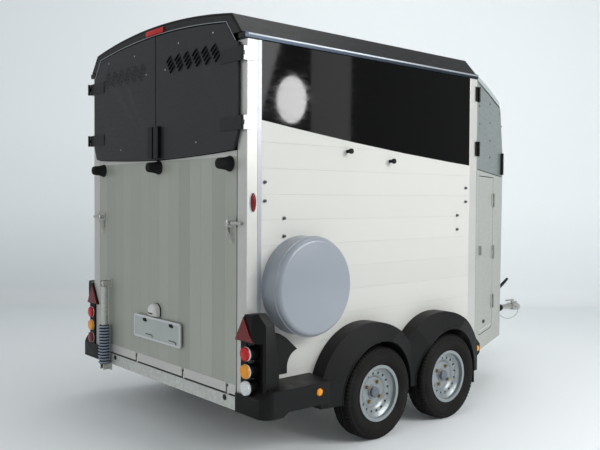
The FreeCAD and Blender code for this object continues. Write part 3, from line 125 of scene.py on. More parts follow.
class Graph:
    """A material's node tree with short calls that add and join nodes."""

    def __init__(self, name: str) -> None:
        """Start a material of that name with its Principled shader."""
        self.material = bpy.data.materials.new(name)
        self.material.use_nodes = True
        self.tree = self.material.node_tree
        self.shader = self.tree.nodes["Principled BSDF"]

    def add(self, kind: str, values: dict | None = None, **settings: object) -> bpy.types.Node:
        """Add a shader node.

        Args:
            kind: the node's type without the leading ShaderNode.
            values: for each input, a socket to join or a constant to set.
            settings: properties of the node itself.

        Returns:
            The new node.
        """
        node = self.tree.nodes.new("ShaderNode" + kind)
        for key, value in settings.items():
            setattr(node, key, value)
        for key, value in (values or {}).items():
            self.put(node.inputs[key], value)
        return node

    def put(self, socket: Socket, value: object) -> None:
        """Join or set an input.

        Args:
            socket: the input.
            value: a socket that is joined to it, or the constant that it is set to.
        """
        if isinstance(value, bpy.types.NodeSocket):
            self.tree.links.new(value, socket)
        else:
            socket.default_value = value

    def dress(self, **values: object) -> None:
        """Set inputs of the Principled shader.

        Args:
            values: for each input, named with underscores for spaces, a socket or a constant.
        """
        for key, value in values.items():
            self.put(self.shader.inputs[key.replace("_", " ")], value)

    def place(self, scale: Triple = (1.0, 1.0, 1.0)) -> Socket:
        """Object coordinates stretched by a factor along each axis."""
        source = self.add("TexCoord").outputs["Object"]
        return self.add("Mapping", {"Vector": source, "Scale": scale}).outputs[0]

    def noise(self, where: Socket, scale: float, detail: float = 3.0, rough: float = 0.55) -> Socket:
        """Fractal noise from 0 to 1 at so many waves a metre."""
        return self.add("TexNoise", {"Vector": where, "Scale": scale, "Detail": detail,
                                     "Roughness": rough}).outputs[0]

    def calc(self, operation: str, *values: object) -> Socket:
        """Work out a Math node.

        Args:
            operation: the node's operation.
            values: one to three sockets or constants.

        Returns:
            The node's result.
        """
        node = self.add("Math", operation=operation)
        for socket, value in zip(node.inputs, values):
            self.put(socket, value)
        return node.outputs[0]

    def span(self, value: Socket, low: float, high: float, to_low: float, to_high: float) -> Socket:
        """Carry a value from one range to another, held at the ends."""
        return self.add("MapRange", {"Value": value, "From Min": low, "From Max": high,
                                     "To Min": to_low, "To Max": to_high}).outputs[0]

    def blend(self, share: object, first: object, second: object, mode: str = "MIX") -> Socket:
        """Mix two colours.

        Args:
            share: how much of the second there is, from 0 to 1.
            first: a socket or a linear colour.
            second: the other one.
            mode: how they mix.

        Returns:
            The mixed colour.
        """
        node = self.add("Mix", data_type="RGBA", blend_type=mode)
        for index, value in ((0, share), (6, first), (7, second)):
            self.put(node.inputs[index], value)
        return node.outputs[2]

    def relief(self, height: Socket, distance: float, strength: float = 1.0,
               under: Socket | None = None) -> Socket:
        """A bumped normal.

        Args:
            height: the relief, from 0 to 1.
            distance: its full height in metres.
            strength: how much of it shows.
            under: a normal that it lies on.

        Returns:
            The normal for the shader.
        """
        values = {"Height": height, "Distance": distance, "Strength": strength}
        if under is not None:
            values["Normal"] = under
        return self.add("Bump", values).outputs[0]


class Grain(Enum):
    """Surface textures that a moulded or painted finish can have."""

    SMOOTH = "smooth"
    PEEL = "orange peel"
    LEATHERED = "leathered"


class Run(Enum):
    """Axis across which planks are laid, as an index of the coordinate."""

    ACROSS = 1
    UP = 2


@dataclass(frozen=True)
class Coat:
    """Paint, gelcoat or moulded plastic."""

    name: str
    colour: Triple
    rough: float = 0.35
    gloss_coat: float = 0.0
    grain: Grain = Grain.PEEL
    metal: float = 0.0
    mottle: float = 0.05
    shine: float = 0.5

    def material(self) -> bpy.types.Material:
        """Build the material.

        Returns:
            A shader whose colour drifts slowly, whose roughness varies with fine
            smears, and whose bump is orange peel or a leather grain.
        """
        graph = Graph(self.name)
        where = graph.place()
        drift = graph.noise(where, 2.3, 4.0)
        smear = graph.noise(graph.place((3.0, 3.0, 14.0)), 4.0, 5.0, 0.6)
        colour = graph.blend(graph.span(drift, 0.3, 0.7, 0, 1), linear(self.colour, 1 - 2 * self.mottle),
                             linear(self.colour, 1 + self.mottle))
        rough = graph.span(smear, 0.3, 0.7, self.rough * 0.86, min(1.0, self.rough * 1.16))
        graph.dress(Base_Color=colour, Roughness=rough, Metallic=self.metal, Coat_Weight=self.gloss_coat,
                    Coat_Roughness=0.08, Specular_IOR_Level=self.shine)
        if self.grain is Grain.LEATHERED:
            cells = graph.add("TexVoronoi", {"Vector": where, "Scale": 620.0}).outputs["Distance"]
            graph.dress(Normal=graph.relief(cells, 0.00025, 0.6))
        elif self.grain is Grain.PEEL:
            graph.dress(Normal=graph.relief(graph.noise(where, 160.0, 2.0), 0.0002, 0.35))
        return graph.material


@dataclass(frozen=True)
class Planks:
    """Hollow aluminium planks with a groove at each joint."""

    name: str
    colour: Triple
    across: Run
    pitch: float
    start: float
    spread: float = 0.1
    rough: float = 0.42
    metal: float = 0.55
    groove: float = 0.32

    def material(self) -> bpy.types.Material:
        """Build the material.

        Returns:
            A shader that numbers the planks by the whole part of (place - start) /
            pitch, gives each number its own tone, draws long drawing marks along
            the planks and bumps a narrow groove where the fraction is near 0 or 1.
        """
        graph = Graph(self.name)
        split = graph.add("SeparateXYZ", {"Vector": graph.add("TexCoord").outputs["Object"]})
        steps = graph.calc("DIVIDE", graph.calc("SUBTRACT", split.outputs[self.across.value], self.start),
                           self.pitch)
        number = graph.calc("FLOOR", steps)
        part = graph.calc("FRACT", steps)
        tone = graph.add("TexWhiteNoise", {"W": number}, noise_dimensions="1D").outputs["Value"]
        stretch = (0.35, 60.0, 0.35) if self.across is Run.ACROSS else (0.35, 0.35, 60.0)
        marks = graph.noise(graph.place(stretch), 6.0, 6.0, 0.65)
        cloud = graph.noise(graph.place(), 1.3, 3.0)
        share = graph.calc("ADD", graph.calc("MULTIPLY", tone, 0.7),
                           graph.calc("MULTIPLY", graph.span(marks, 0.3, 0.7, 0, 1), 0.3))
        colour = graph.blend(share, linear(self.colour, 1 - self.spread),
                             linear(self.colour, 1 + self.spread))
        edge = graph.calc("MULTIPLY", graph.calc("ABSOLUTE", graph.calc("SUBTRACT", part, 0.5)), 2.0)
        groove = graph.span(edge, 1 - 0.0028 / self.pitch, 1 - 0.0008 / self.pitch, 0, 1)
        colour = graph.blend(graph.calc("MULTIPLY", groove, self.groove), colour, (0.05, 0.05, 0.05, 1.0))
        rough = graph.span(graph.calc("ADD", marks, cloud), 0.7, 1.3, self.rough * 0.82, self.rough * 1.22)
        lines = graph.relief(marks, 0.0001, 0.25)
        bump = graph.relief(graph.calc("SUBTRACT", 1.0, groove), 0.0008, 0.9, lines)
        graph.dress(Base_Color=colour, Roughness=rough, Metallic=self.metal, Normal=bump)
        return graph.material


@dataclass(frozen=True)
class Metal:
    """Bare, zinc-plated or galvanised metal."""

    name: str
    colour: Triple
    rough: float = 0.4
    spangle: float = 0.0
    metal: float = 0.85

    def material(self) -> bpy.types.Material:
        """Build the material.

        Returns:
            A metal shader with fine scratches, and with flat crystal patches of
            differing tone where spangle is above 0.
        """
        graph = Graph(self.name)
        where = graph.place()
        fine = graph.noise(where, 90.0, 4.0)
        share = graph.span(graph.noise(where, 7.0, 5.0), 0.3, 0.7, 0, 1)
        rough = graph.span(fine, 0.3, 0.7, self.rough * 0.85, self.rough * 1.2)
        if self.spangle:
            crystal = graph.add("TexVoronoi", {"Vector": where, "Scale": 70.0})
            grey = graph.add("SeparateColor", {"Color": crystal.outputs["Color"]}).outputs[0]
            share = graph.calc("ADD", graph.calc("MULTIPLY", share, 1 - self.spangle),
                               graph.calc("MULTIPLY", grey, self.spangle))
        colour = graph.blend(share, linear(self.colour, 0.82), linear(self.colour, 1.12))
        graph.dress(Base_Color=colour, Roughness=rough, Metallic=self.metal,
                    Normal=graph.relief(fine, 0.0001, 0.3))
        return graph.material


@dataclass(frozen=True)
class Rubber:
    """Moulded rubber with a dusty bloom."""

    name: str
    colour: Triple = (0.10, 0.10, 0.105)
    rough: float = 0.72

    def material(self) -> bpy.types.Material:
        """Build the material.

        Returns:
            A dull dark shader with a fine pebble bump and a faint grey bloom.
        """
        graph = Graph(self.name)
        where = graph.place()
        bloom = graph.span(graph.noise(where, 5.0, 6.0, 0.7), 0.45, 0.75, 0, 1)
        colour = graph.blend(bloom, linear(self.colour), linear(self.colour, 1.5, 0.004))
        fine = graph.noise(where, 420.0, 2.0)
        rough = graph.span(fine, 0.3, 0.7, self.rough * 0.9, self.rough * 1.1)
        graph.dress(Base_Color=colour, Roughness=rough, Specular_IOR_Level=0.18,
                    Normal=graph.relief(fine, 0.0003, 0.4))
        return graph.material


@dataclass(frozen=True)
class Lens:
    """Coloured clear plastic over a bright reflector."""

    name: str
    colour: Triple
    ribs: float = 260.0

    def material(self) -> bpy.types.Material:
        """Build the material.

        Returns:
            A glossy deep colour whose bump is the small prisms behind the face.
        """
        graph = Graph(self.name)
        cells = graph.add("TexVoronoi", {"Vector": graph.place(), "Scale": self.ribs},
                          distance="CHEBYCHEV").outputs["Distance"]
        share = graph.span(cells, 0.0, 0.6, 0, 1)
        colour = graph.blend(share, linear(self.colour, 0.6), linear(self.colour, 1.2))
        graph.dress(Base_Color=colour, Roughness=0.22, Coat_Weight=0.3, Coat_Roughness=0.04,
                    Specular_IOR_Level=0.3, Normal=graph.relief(cells, 0.0006, 0.5))
        return graph.material


@dataclass(frozen=True)
class Glazing:
    """Dark tinted acrylic that reads as gloss black."""

    name: str
    colour: Triple = (0.005, 0.005, 0.006)

    def material(self) -> bpy.types.Material:
        """Build the material.

        Returns:
            A black mirror-like shader with faint waviness and wiping marks.
        """
        graph = Graph(self.name)
        wave = graph.noise(graph.place(), 2.2, 1.0)
        wipe = graph.noise(graph.place((2.0, 2.0, 9.0)), 5.0, 5.0, 0.65)
        colour = graph.blend(graph.span(wipe, 0.4, 0.7, 0, 1), linear(self.colour), linear(self.colour, 1.6))
        graph.dress(Base_Color=colour, Roughness=graph.span(wipe, 0.35, 0.7, 0.03, 0.07),
                    Specular_IOR_Level=0.14, Normal=graph.relief(wave, 0.004, 0.1))
        return graph.material


@dataclass(frozen=True)
class Board:
    """Coated board of the floor and the stall divider."""

    name: str
    colour: Triple

    def material(self) -> bpy.types.Material:
        """Build the material.

        Returns:
            A dull shader with a raised pattern of cells for grip, and scuffs.
        """
        graph = Graph(self.name)
        cells = graph.add("TexVoronoi", {"Vector": graph.place(), "Scale": 90.0}).outputs["Distance"]
        scuff = graph.noise(graph.place((1.0, 3.0, 3.0)), 6.0, 6.0, 0.7)
        colour = graph.blend(graph.span(scuff, 0.4, 0.7, 0, 1), linear(self.colour, 0.85),
                             linear(self.colour, 1.25))
        graph.dress(Base_Color=colour, Roughness=graph.span(scuff, 0.3, 0.7, 0.55, 0.75),
                    Normal=graph.relief(cells, 0.0006, 0.4))
        return graph.material


FINISHES = {
    "side": Planks("side_planks", (0.80, 0.80, 0.78), Run.UP, 0.15, 0.375, spread=0.03, rough=0.62,
                   metal=0.12, groove=0.14),
    "ramp": Planks("ramp_planks", (0.675, 0.685, 0.65), Run.ACROSS, 0.1247, -0.873, spread=0.10, metal=0.4),
    "panel": Coat("nose_panel", (0.62, 0.63, 0.605), 0.4, 0.1, mottle=0.015),
    "band": Coat("grey_band", (0.66, 0.68, 0.70), 0.4, metal=0.5, mottle=0.03),
    "header": Coat("header_shell", (0.08, 0.08, 0.085), 0.4, shine=0.35),
    "leaf": Coat("top_door_shell", (0.135, 0.135, 0.145), 0.4, 0.05, shine=0.35),
    "brass": Metal("nut_plating", (0.60, 0.52, 0.36), 0.35),
    "hub": Coat("hub_plastic", (0.38, 0.41, 0.45), 0.3),
    "tray": Coat("tray_field", (0.69, 0.72, 0.71), 0.35),
    "zinc_dark": Metal("dull_zinc", (0.40, 0.41, 0.42), 0.4),
    "gaiter": Coat("gaiter_plastic", (0.56, 0.60, 0.66), 0.4, mottle=0.04),
    "deep_red": Lens("deep_red_lens", (0.42, 0.02, 0.03)),
    "post": Coat("post_aluminium", (0.80, 0.80, 0.785), 0.42, metal=0.45, mottle=0.03),
    "rail": Coat("rail_aluminium", (0.20, 0.235, 0.28), 0.3, metal=0.85, grain=Grain.SMOOTH),
    "roof": Coat("roof_shell", (0.08, 0.08, 0.084), 0.42, shine=0.25),
    "cap": Coat("cap_shell", (0.62, 0.67, 0.67), 0.3, 0.4),
    "door_grey": Coat("nose_door_shell", (0.41, 0.45, 0.445), 0.34, 0.1),
    "black": Coat("moulded_black", (0.06, 0.06, 0.062), 0.46, grain=Grain.LEATHERED, shine=0.2),
    "smooth_black": Coat("smooth_black", (0.05, 0.05, 0.054), 0.4, shine=0.3),
    "glass": Glazing("tinted_window"),
    "galvanised": Metal("galvanised_steel", (0.80, 0.81, 0.79), 0.46, spangle=0.6, metal=0.5),
    "zinc": Metal("zinc_plate", (0.78, 0.78, 0.76), 0.3),
    "wheel": Coat("wheel_paint", (0.56, 0.59, 0.60), 0.34, 0.2, metal=0.4, mottle=0.03),
    "rubber": Rubber("black_rubber"),
    "tyre": Rubber("tyre_rubber", (0.085, 0.08, 0.075), 0.78),
    "red": Lens("red_lens", (0.74, 0.03, 0.04)),
    "amber": Lens("amber_lens", (0.94, 0.60, 0.12)),
    "clear": Lens("clear_lens", (0.86, 0.87, 0.88)),
    "cover": Coat("spare_cover_plastic", (0.575, 0.60, 0.635), 0.32, 0.2, mottle=0.02),
    "plate": Coat("plate_plastic", (0.80, 0.81, 0.82), 0.35),
    "lamp_white": Coat("lamp_dome", (0.85, 0.85, 0.84), 0.3),
    "floor": Board("floor_board", (0.34, 0.29, 0.24)),
    "padding": Board("divider_board", (0.25, 0.25, 0.26)),
    "cable": Metal("coated_cable", (0.62, 0.62, 0.62), 0.45),
}
MADE: dict[str, bpy.types.Material] = {}


def finish(name: str) -> bpy.types.Material:
    """The material of a finish, built the first time it is asked for.

    Args:
        name: key of the finish.

    Returns:
        The one material that all pieces with this finish share.
    """
    if name not in MADE:
        MADE[name] = FINISHES[name].material()
    return MADE[name]


def quads(rows: int, columns: int, wrap_rows: bool = False, wrap_columns: bool = False) -> list:
    """Four-sided faces of a grid of points numbered row by row.

    Args:
        rows: how many rows of points.
        columns: how many points in a row.
        wrap_rows: whether the last row joins the first.
        wrap_columns: whether the last column joins the first.

    Returns:
        Lists of four point numbers, from row r and r + 1 and column c and c + 1.
    """
    row = np.arange(rows if wrap_rows else rows - 1)[:, None]
    column = np.arange(columns if wrap_columns else columns - 1)[None, :]
    below, beside = (row + 1) % rows, (column + 1) % columns
    corners = (row * columns + column, below * columns + column, below * columns + beside,
               row * columns + beside)
    return np.stack(corners, axis=-1).reshape(-1, 4).tolist()


def metres(spots: np.ndarray) -> np.ndarray:
    """Places in millimetres from the rear posts, as metres in the part's frame."""
    return (np.asarray(spots, float) - np.array([MIDDLE_X, 0.0, 0.0])) / 1000.0


def unit(way: np.ndarray) -> np.ndarray:
    """Rows of directions, each made one long."""
    return way / np.linalg.norm(way, axis=-1, keepdims=True)


def placed(name: str, data: bpy.types.ID) -> bpy.types.Object:
    """Put data into the scene.

    Args:
        name: the new object's name.
        data: a mesh, curve, lamp or camera.

    Returns:
        The object, at the origin.
    """
    thing = bpy.data.objects.new(name, data)
    bpy.context.scene.collection.objects.link(thing)
    return thing


def shade(mesh: bpy.types.Mesh) -> None:
    """Shade a mesh smoothly, up to its sharp edges."""
    mesh.shade_smooth()
    mesh.set_sharp_from_angle(angle=SHARP)


def face_middles(mesh: bpy.types.Mesh) -> np.ndarray:
    """Middles of a mesh's faces.

    Args:
        mesh: the mesh.

    Returns:
        One row of X, Y and Z in metres for each face.
    """
    middle = np.zeros(len(mesh.polygons) * 3)
    mesh.polygons.foreach_get("center", middle)
    return middle.reshape(-1, 3)


def inset(outline: np.ndarray, by: float) -> np.ndarray:
    """Outline drawn in by a distance.

    Args:
        outline: rows of two coordinates, anticlockwise.
        by: how far each edge moves inward.

    Returns:
        Each corner moved by the sum of its two edges' inward normals, divided by 1
        plus their dot product.
    """
    edge = unit(np.roll(outline, -1, axis=0) - outline)
    after = np.stack([-edge[:, 1], edge[:, 0]], axis=1)
    before = np.roll(after, 1, axis=0)
    share = 1.0 + np.sum(before * after, axis=1, keepdims=True)
    return outline + by * (before + after) / np.maximum(share, 0.2)


def rounded(outline: np.ndarray, radius: float, steps: int = 6) -> np.ndarray:
    """Outline with its corners rounded.

    Args:
        outline: rows of two coordinates.
        radius: how far before and after a corner its round begins and ends.
        steps: points in each round.

    Returns:
        For each corner c between a and b the points (1 - t)^2 a + 2 t (1 - t) c + t^2 b.
    """
    corners = np.asarray(outline, float)
    start = corners + radius * unit(np.roll(corners, 1, axis=0) - corners)
    end = corners + radius * unit(np.roll(corners, -1, axis=0) - corners)
    t = np.linspace(0.0, 1.0, steps)[None, :, None]
    bend = (1 - t) ** 2 * start[:, None] + 2 * t * (1 - t) * corners[:, None] + t ** 2 * end[:, None]
    return bend.reshape(-1, 2)


def oblong(across: float, up: float, width: float, height: float, radius: float) -> np.ndarray:
    """Rectangle with rounded corners.

    Args:
        across: its middle's first coordinate.
        up: its middle's second coordinate.
        width: its size along the first.
        height: its size along the second.
        radius: how far from a corner the round begins.

    Returns:
        Rows of two coordinates, anticlockwise.
    """
    half = np.array([width, height]) / 2.0
    corners = np.array([(-1, -1), (1, -1), (1, 1), (-1, 1)]) * half + np.array([across, up])
    return rounded(corners, radius)


def disc(across: float, up: float, radius: float, steps: int = 24) -> np.ndarray:
    """Circle about a middle, anticlockwise."""
    turn = np.linspace(0.0, 2 * math.pi, steps, endpoint=False)
    return np.stack([across + radius * np.cos(turn), up + radius * np.sin(turn)], axis=1)


@dataclass(frozen=True)
class Plane:
    """A flat face of the trailer on which outlines are drawn in millimetres."""

    origin: Triple
    across: Triple
    up: Triple
    out: Triple

    def spot(self, flat: np.ndarray, height: float = 0.0) -> np.ndarray:
        """Rows of origin + across * a + up * b + out * height, in millimetres."""
        return (np.array(self.origin) + flat[:, :1] * np.array(self.across) + flat[:, 1:2] * np.array(self.up)
                + height * np.array(self.out))


def rear_plane(x: float) -> Plane:
    """Face that looks backward, drawn in Y and Z."""
    return Plane((x, 0.0, 0.0), (0.0, 1.0, 0.0), (0.0, 0.0, 1.0), (-1.0, 0.0, 0.0))


def side_plane(y: float, sign: float) -> Plane:
    """Face that looks outward on one side, drawn in X and Z."""
    return Plane((0.0, sign * y, 0.0), (1.0, 0.0, 0.0), (0.0, 0.0, 1.0), (0.0, sign, 0.0))


class Mould:
    """Points and faces of one piece, gathered from several surfaces.

    Each method that adds a surface returns the mould, so that calls can follow on.
    """

    def __init__(self) -> None:
        """Start with nothing."""
        self.points: list[np.ndarray] = []
        self.faces: list[list[int]] = []
        self.count = 0

    def grid(self, spots: np.ndarray, wrap_rows: bool = False, wrap_columns: bool = False) -> "Mould":
        """Add a surface.

        Args:
            spots: rows by columns by three, in millimetres.
            wrap_rows: whether the last row joins the first.
            wrap_columns: whether the last column joins the first.

        Returns:
            The mould.
        """
        rows, columns = spots.shape[:2]
        self.faces += (np.array(quads(rows, columns, wrap_rows, wrap_columns)) + self.count).tolist()
        self.points.append(metres(spots).reshape(-1, 3))
        self.count += rows * columns
        return self

    def skin(self, rings: np.ndarray) -> "Mould":
        """Join closed rings one to the next and close both ends with a face.

        Args:
            rings: ring by point by three, in millimetres.

        Returns:
            The mould.
        """
        rows, columns = rings.shape[:2]
        first = list(range(self.count, self.count + columns))
        last = [number + (rows - 1) * columns for number in first]
        self.grid(rings, wrap_columns=True)
        self.faces += [first, last[::-1]]
        return self

    def turn(self, profile: np.ndarray, centre: tuple, axis: tuple, steps: int = 40) -> "Mould":
        """Turn a profile round an axis and close both its ends.

        Point j of ring i is centre + axis * along_i + radius_i * (u cos a_j + v sin a_j),
        with u and v square to the axis and a_j = 2 pi j / steps.

        Args:
            profile: rows of radius and distance along the axis, in millimetres.
            centre: where distance 0 is.
            axis: direction of the axis.
            steps: points in a ring.

        Returns:
            The mould.
        """
        rows = np.asarray(profile, float)
        way = unit(np.array(axis, float))
        helper = np.array([0.0, 0.0, 1.0]) if abs(way[2]) < 0.9 else np.array([1.0, 0.0, 0.0])
        u = unit(np.cross(way, helper))
        v = np.cross(way, u)
        angle = np.linspace(0.0, 2 * math.pi, steps, endpoint=False)[:, None]
        ring = u * np.cos(angle) + v * np.sin(angle)
        radius, along = rows[:, 0][:, None, None], rows[:, 1][:, None, None]
        return self.skin(np.array(centre) + along * way + radius * ring)

    def slab(self, outline: np.ndarray, plane: Plane, levels: tuple) -> "Mould":
        """Plate of an outline, drawn in by an amount at each height.

        Args:
            outline: rows of two coordinates on the plane, anticlockwise.
            plane: the face that it lies on.
            levels: pairs of inset and height over the plane, from the back to the front.

        Returns:
            The mould.
        """
        return self.skin(np.stack([plane.spot(inset(outline, by), height) for by, height in levels]))

    def bar(self, path: np.ndarray, radius: float | np.ndarray, side: tuple, steps: int = 10) -> "Mould":
        """Round bar along a path.

        Point j of ring i is path_i + radius_i * (u cos a_j + v sin a_j), where u is the
        path's direction crossed with side, and v is the direction crossed with u.

        Args:
            path: rows of places in millimetres.
            radius: one radius, or one for each place.
            side: a direction that the path never takes.
            steps: points in a ring.

        Returns:
            The mould.
        """
        route = np.asarray(path, float)
        way = unit(np.gradient(route, axis=0))
        u = unit(np.cross(way, np.array(side, float)))
        v = np.cross(way, u)
        angle = np.linspace(0.0, 2 * math.pi, steps, endpoint=False)[None, :, None]
        size = np.broadcast_to(np.asarray(radius, float), (len(route),))[:, None, None]
        return self.skin(route[:, None] + size * (u[:, None] * np.cos(angle) + v[:, None] * np.sin(angle)))

    def piece(self, name: str, body: str | None, dress: str) -> bpy.types.Object:
        """Make the mesh object that rides on a body.

        Args:
            name: the piece's name.
            body: the CAD body that carries it, or None for a piece that bends between two.
            dress: key of the finish.

        Returns:
            The new object, at the origin, with its faces pointing outward.
        """
        mesh = bpy.data.meshes.new(name)
        mesh.from_pydata(np.concatenate(self.points).tolist(), [], self.faces)
        work = bmesh.new()
        work.from_mesh(mesh)
        bmesh.ops.remove_doubles(work, verts=work.verts, dist=1e-6)
        bmesh.ops.recalc_face_normals(work, faces=work.faces)
        work.to_mesh(mesh)
        work.free()
        mesh.materials.append(finish(dress))
        shade(mesh)
        piece = placed(name, mesh)
        if body is not None:
            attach(piece, body)
        LOG.info("%s: %d faces on %s", name, len(mesh.polygons), body)
        return piece


@dataclass(frozen=True)
class Zone:
    """A stretch of a copied node that has a finish of its own."""

    dress: str
    low: Triple
    high: Triple

    def inside(self, spots: np.ndarray) -> np.ndarray:
        """Which places, in metres, lie between the two corners."""
        low, high = metres(np.array(self.low)), metres(np.array(self.high))
        return np.all((spots > low) & (spots < high), axis=1)


def softened(frame: dict, node: str, dress: str, width: float = 0.0015,
             zones: tuple[Zone, ...] = ()) -> bpy.types.Object:
    """Copy a CAD node with its corners merged and its edges rounded.

    Args:
        node: the node that the copy stands for.
        dress: key of the finish.
        width: width of the rounded edge in metres.
        zones: stretches with another finish.

    Returns:
        The copy, which rides on the node's body.
    """
    source = frame["nodes"][node]
    mesh = source.data.copy()
    mesh.name = "look_" + node
    work = bmesh.new()
    work.from_mesh(mesh)
    bmesh.ops.remove_doubles(work, verts=work.verts, dist=1e-5)
    bmesh.ops.dissolve_limit(work, angle_limit=math.radians(0.6), verts=work.verts, edges=work.edges)
    work.to_mesh(mesh)
    work.free()
    mesh.materials.clear()
    mesh.materials.append(finish(dress))
    number = np.zeros(len(mesh.polygons), np.int32)
    for zone in zones:
        mesh.materials.append(finish(zone.dress))
        number[zone.inside(face_middles(mesh))] = len(mesh.materials) - 1
    mesh.polygons.foreach_set("material_index", number)
    shade(mesh)
    piece = placed("look_" + node, mesh)
    if width:
        bevel = piece.modifiers.new("edges", "BEVEL")
        bevel.width = width
        bevel.segments = 2
        bevel.limit_method = "ANGLE"
        bevel.angle_limit = SHARP
        bevel.harden_normals = True
    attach(piece, body_of(source)[0])
    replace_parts(piece, node)
    LOG.info("%s: copy of %s", piece.name, node)
    return piece


@dataclass
class Studio:
    """Pale floor, backdrop, lamps and the photograph's camera."""

    lens: float = 43.739
    shift_x: float = 0.03998
    shift_y: float = -0.01462
    place: Triple = (-4.6373, -4.2392, 1.5503)
    yaw: float = 50.225
    pitch: float = -1.39
    roll: float = -0.257
    reach_back: float = 9.0
    wall_distance: float = 4.2
    wall_height: float = 9.0
    cove: float = 0.25
    half_width: float = 14.0
    glow: Pair = (0.02, 0.13)
    glow_height: float = 1.5
    lamps: tuple = (
        ("key", (0.8, -6.7, 4.1), (0.0, 0.0, 0.6), (4.0, 3.0), 268.0, "RECTANGLE"),
        ("fill", (-6.5, 1.2, 3.2), (0.0, 0.0, 1.2), (3.0, 3.0), 45.0, "RECTANGLE"),
        ("top", (0.0, 0.0, 6.5), (0.0, 0.0, 0.0), (5.0, 4.0), 95.0, "RECTANGLE"),
        ("patch", (1.14, -4.34, 2.74), (-1.79, -0.96, 2.13), (0.36, 0.56), 21.0, "ELLIPSE"),
        ("band", (1.80, -4.34, 2.95), (-1.47, -0.96, 2.22), (0.5, 1.5), 5.0, "RECTANGLE"))
    world: float = 0.47

    def camera(self) -> None:
        """Set the camera at the place and angle solved from the photograph."""
        data = bpy.data.cameras.new("camera")
        data.sensor_width = 36.0
        data.lens = self.lens
        data.shift_x, data.shift_y = self.shift_x, self.shift_y
        data.clip_end = 100.0
        eye = placed("camera", data)
        eye.location = self.place
        eye.rotation_mode = "XYZ"
        eye.rotation_euler = (math.radians(90 + self.pitch), math.radians(self.roll),
                              math.radians(self.yaw - 90))
        bpy.context.scene.camera = eye

    def shell(self) -> None:
        """Floor that curves up into a wall behind the trailer, clear from behind.

        The profile is flat, turns through a quarter circle and rises; the same
        profile is carried along a straight line across the view. Camera rays see a
        faint glow on it that grows with height, and pass through its back.
        """
        along = np.array([math.cos(math.radians(self.yaw)), math.sin(math.radians(self.yaw)), 0.0])
        across = np.array([along[1], -along[0], 0.0])
        turn = np.linspace(0.0, math.pi / 2, 24)
        wall = self.wall_distance + self.cove
        reach = np.concatenate([[-self.reach_back], self.wall_distance + self.cove * np.sin(turn), [wall]])
        rise = np.concatenate([[0.0], self.cove * (1 - np.cos(turn)), [self.wall_height]])
        profile = reach[:, None] * along + rise[:, None] * np.array([0.0, 0.0, 1.0])
        width = np.linspace(self.half_width, -self.half_width, 3)
        points = (profile[:, None, :] + width[None, :, None] * across).reshape(-1, 3)
        mesh = bpy.data.meshes.new("studio_shell")
        mesh.from_pydata(points.tolist(), [], quads(len(profile), 3))
        mesh.shade_smooth()
        shell = placed("studio_shell", mesh)
        graph = Graph("studio_white")
        height = graph.add("SeparateXYZ", {"Vector": graph.add("TexCoord").outputs["Object"]}).outputs[2]
        seen = graph.add("LightPath").outputs["Is Camera Ray"]
        lift = graph.calc("MULTIPLY", seen, graph.span(height, 0.0, self.glow_height, *self.glow))
        graph.dress(Base_Color=linear((0.93, 0.945, 0.95)), Roughness=0.55, Specular_IOR_Level=0.2,
                    Emission_Color=linear((0.95, 0.985, 1.0)), Emission_Strength=lift)
        behind = graph.calc("MULTIPLY", seen, graph.add("NewGeometry").outputs["Backfacing"])
        clear = graph.add("BsdfTransparent").outputs[0]
        mixed = graph.add("MixShader", {0: behind, 1: graph.shader.outputs[0], 2: clear}).outputs[0]
        graph.put(graph.tree.nodes["Material Output"].inputs["Surface"], mixed)
        mesh.materials.append(graph.material)

    def lamp(self, name: str, place: Triple, aim: Triple, size: Pair, power: float, shape: str) -> None:
        """Hang a soft lamp.

        Args:
            name: the lamp's name.
            place: where it hangs.
            aim: the place that it points at.
            size: its width and height in metres.
            power: its power in watts.
            shape: the shape of its face.
        """
        data = bpy.data.lights.new(name, "AREA")
        data.shape = shape
        data.size, data.size_y = size
        data.energy = power
        lamp = placed(name, data)
        lamp.location = place
        way = np.array(aim) - np.array(place)
        tilt = math.acos(-way[2] / np.linalg.norm(way))
        lamp.rotation_euler = (tilt, 0.0, math.atan2(way[1], way[0]) - math.pi / 2)

    def light(self) -> None:
        """Hang the lamps and set the world."""
        for lamp in self.lamps:
            self.lamp(*lamp)
        world = bpy.data.worlds.new("studio")
        bpy.context.scene.world = world
        world.use_nodes = True
        background = world.node_tree.nodes["Background"]
        background.inputs["Color"].default_value = (0.9, 0.93, 0.95, 1.0)
        background.inputs["Strength"].default_value = self.world

    def build(self) -> None:
        """Make the whole studio."""
        self.camera()
        self.shell()
        self.light()
        bpy.context.scene.view_settings.view_transform = "Standard"


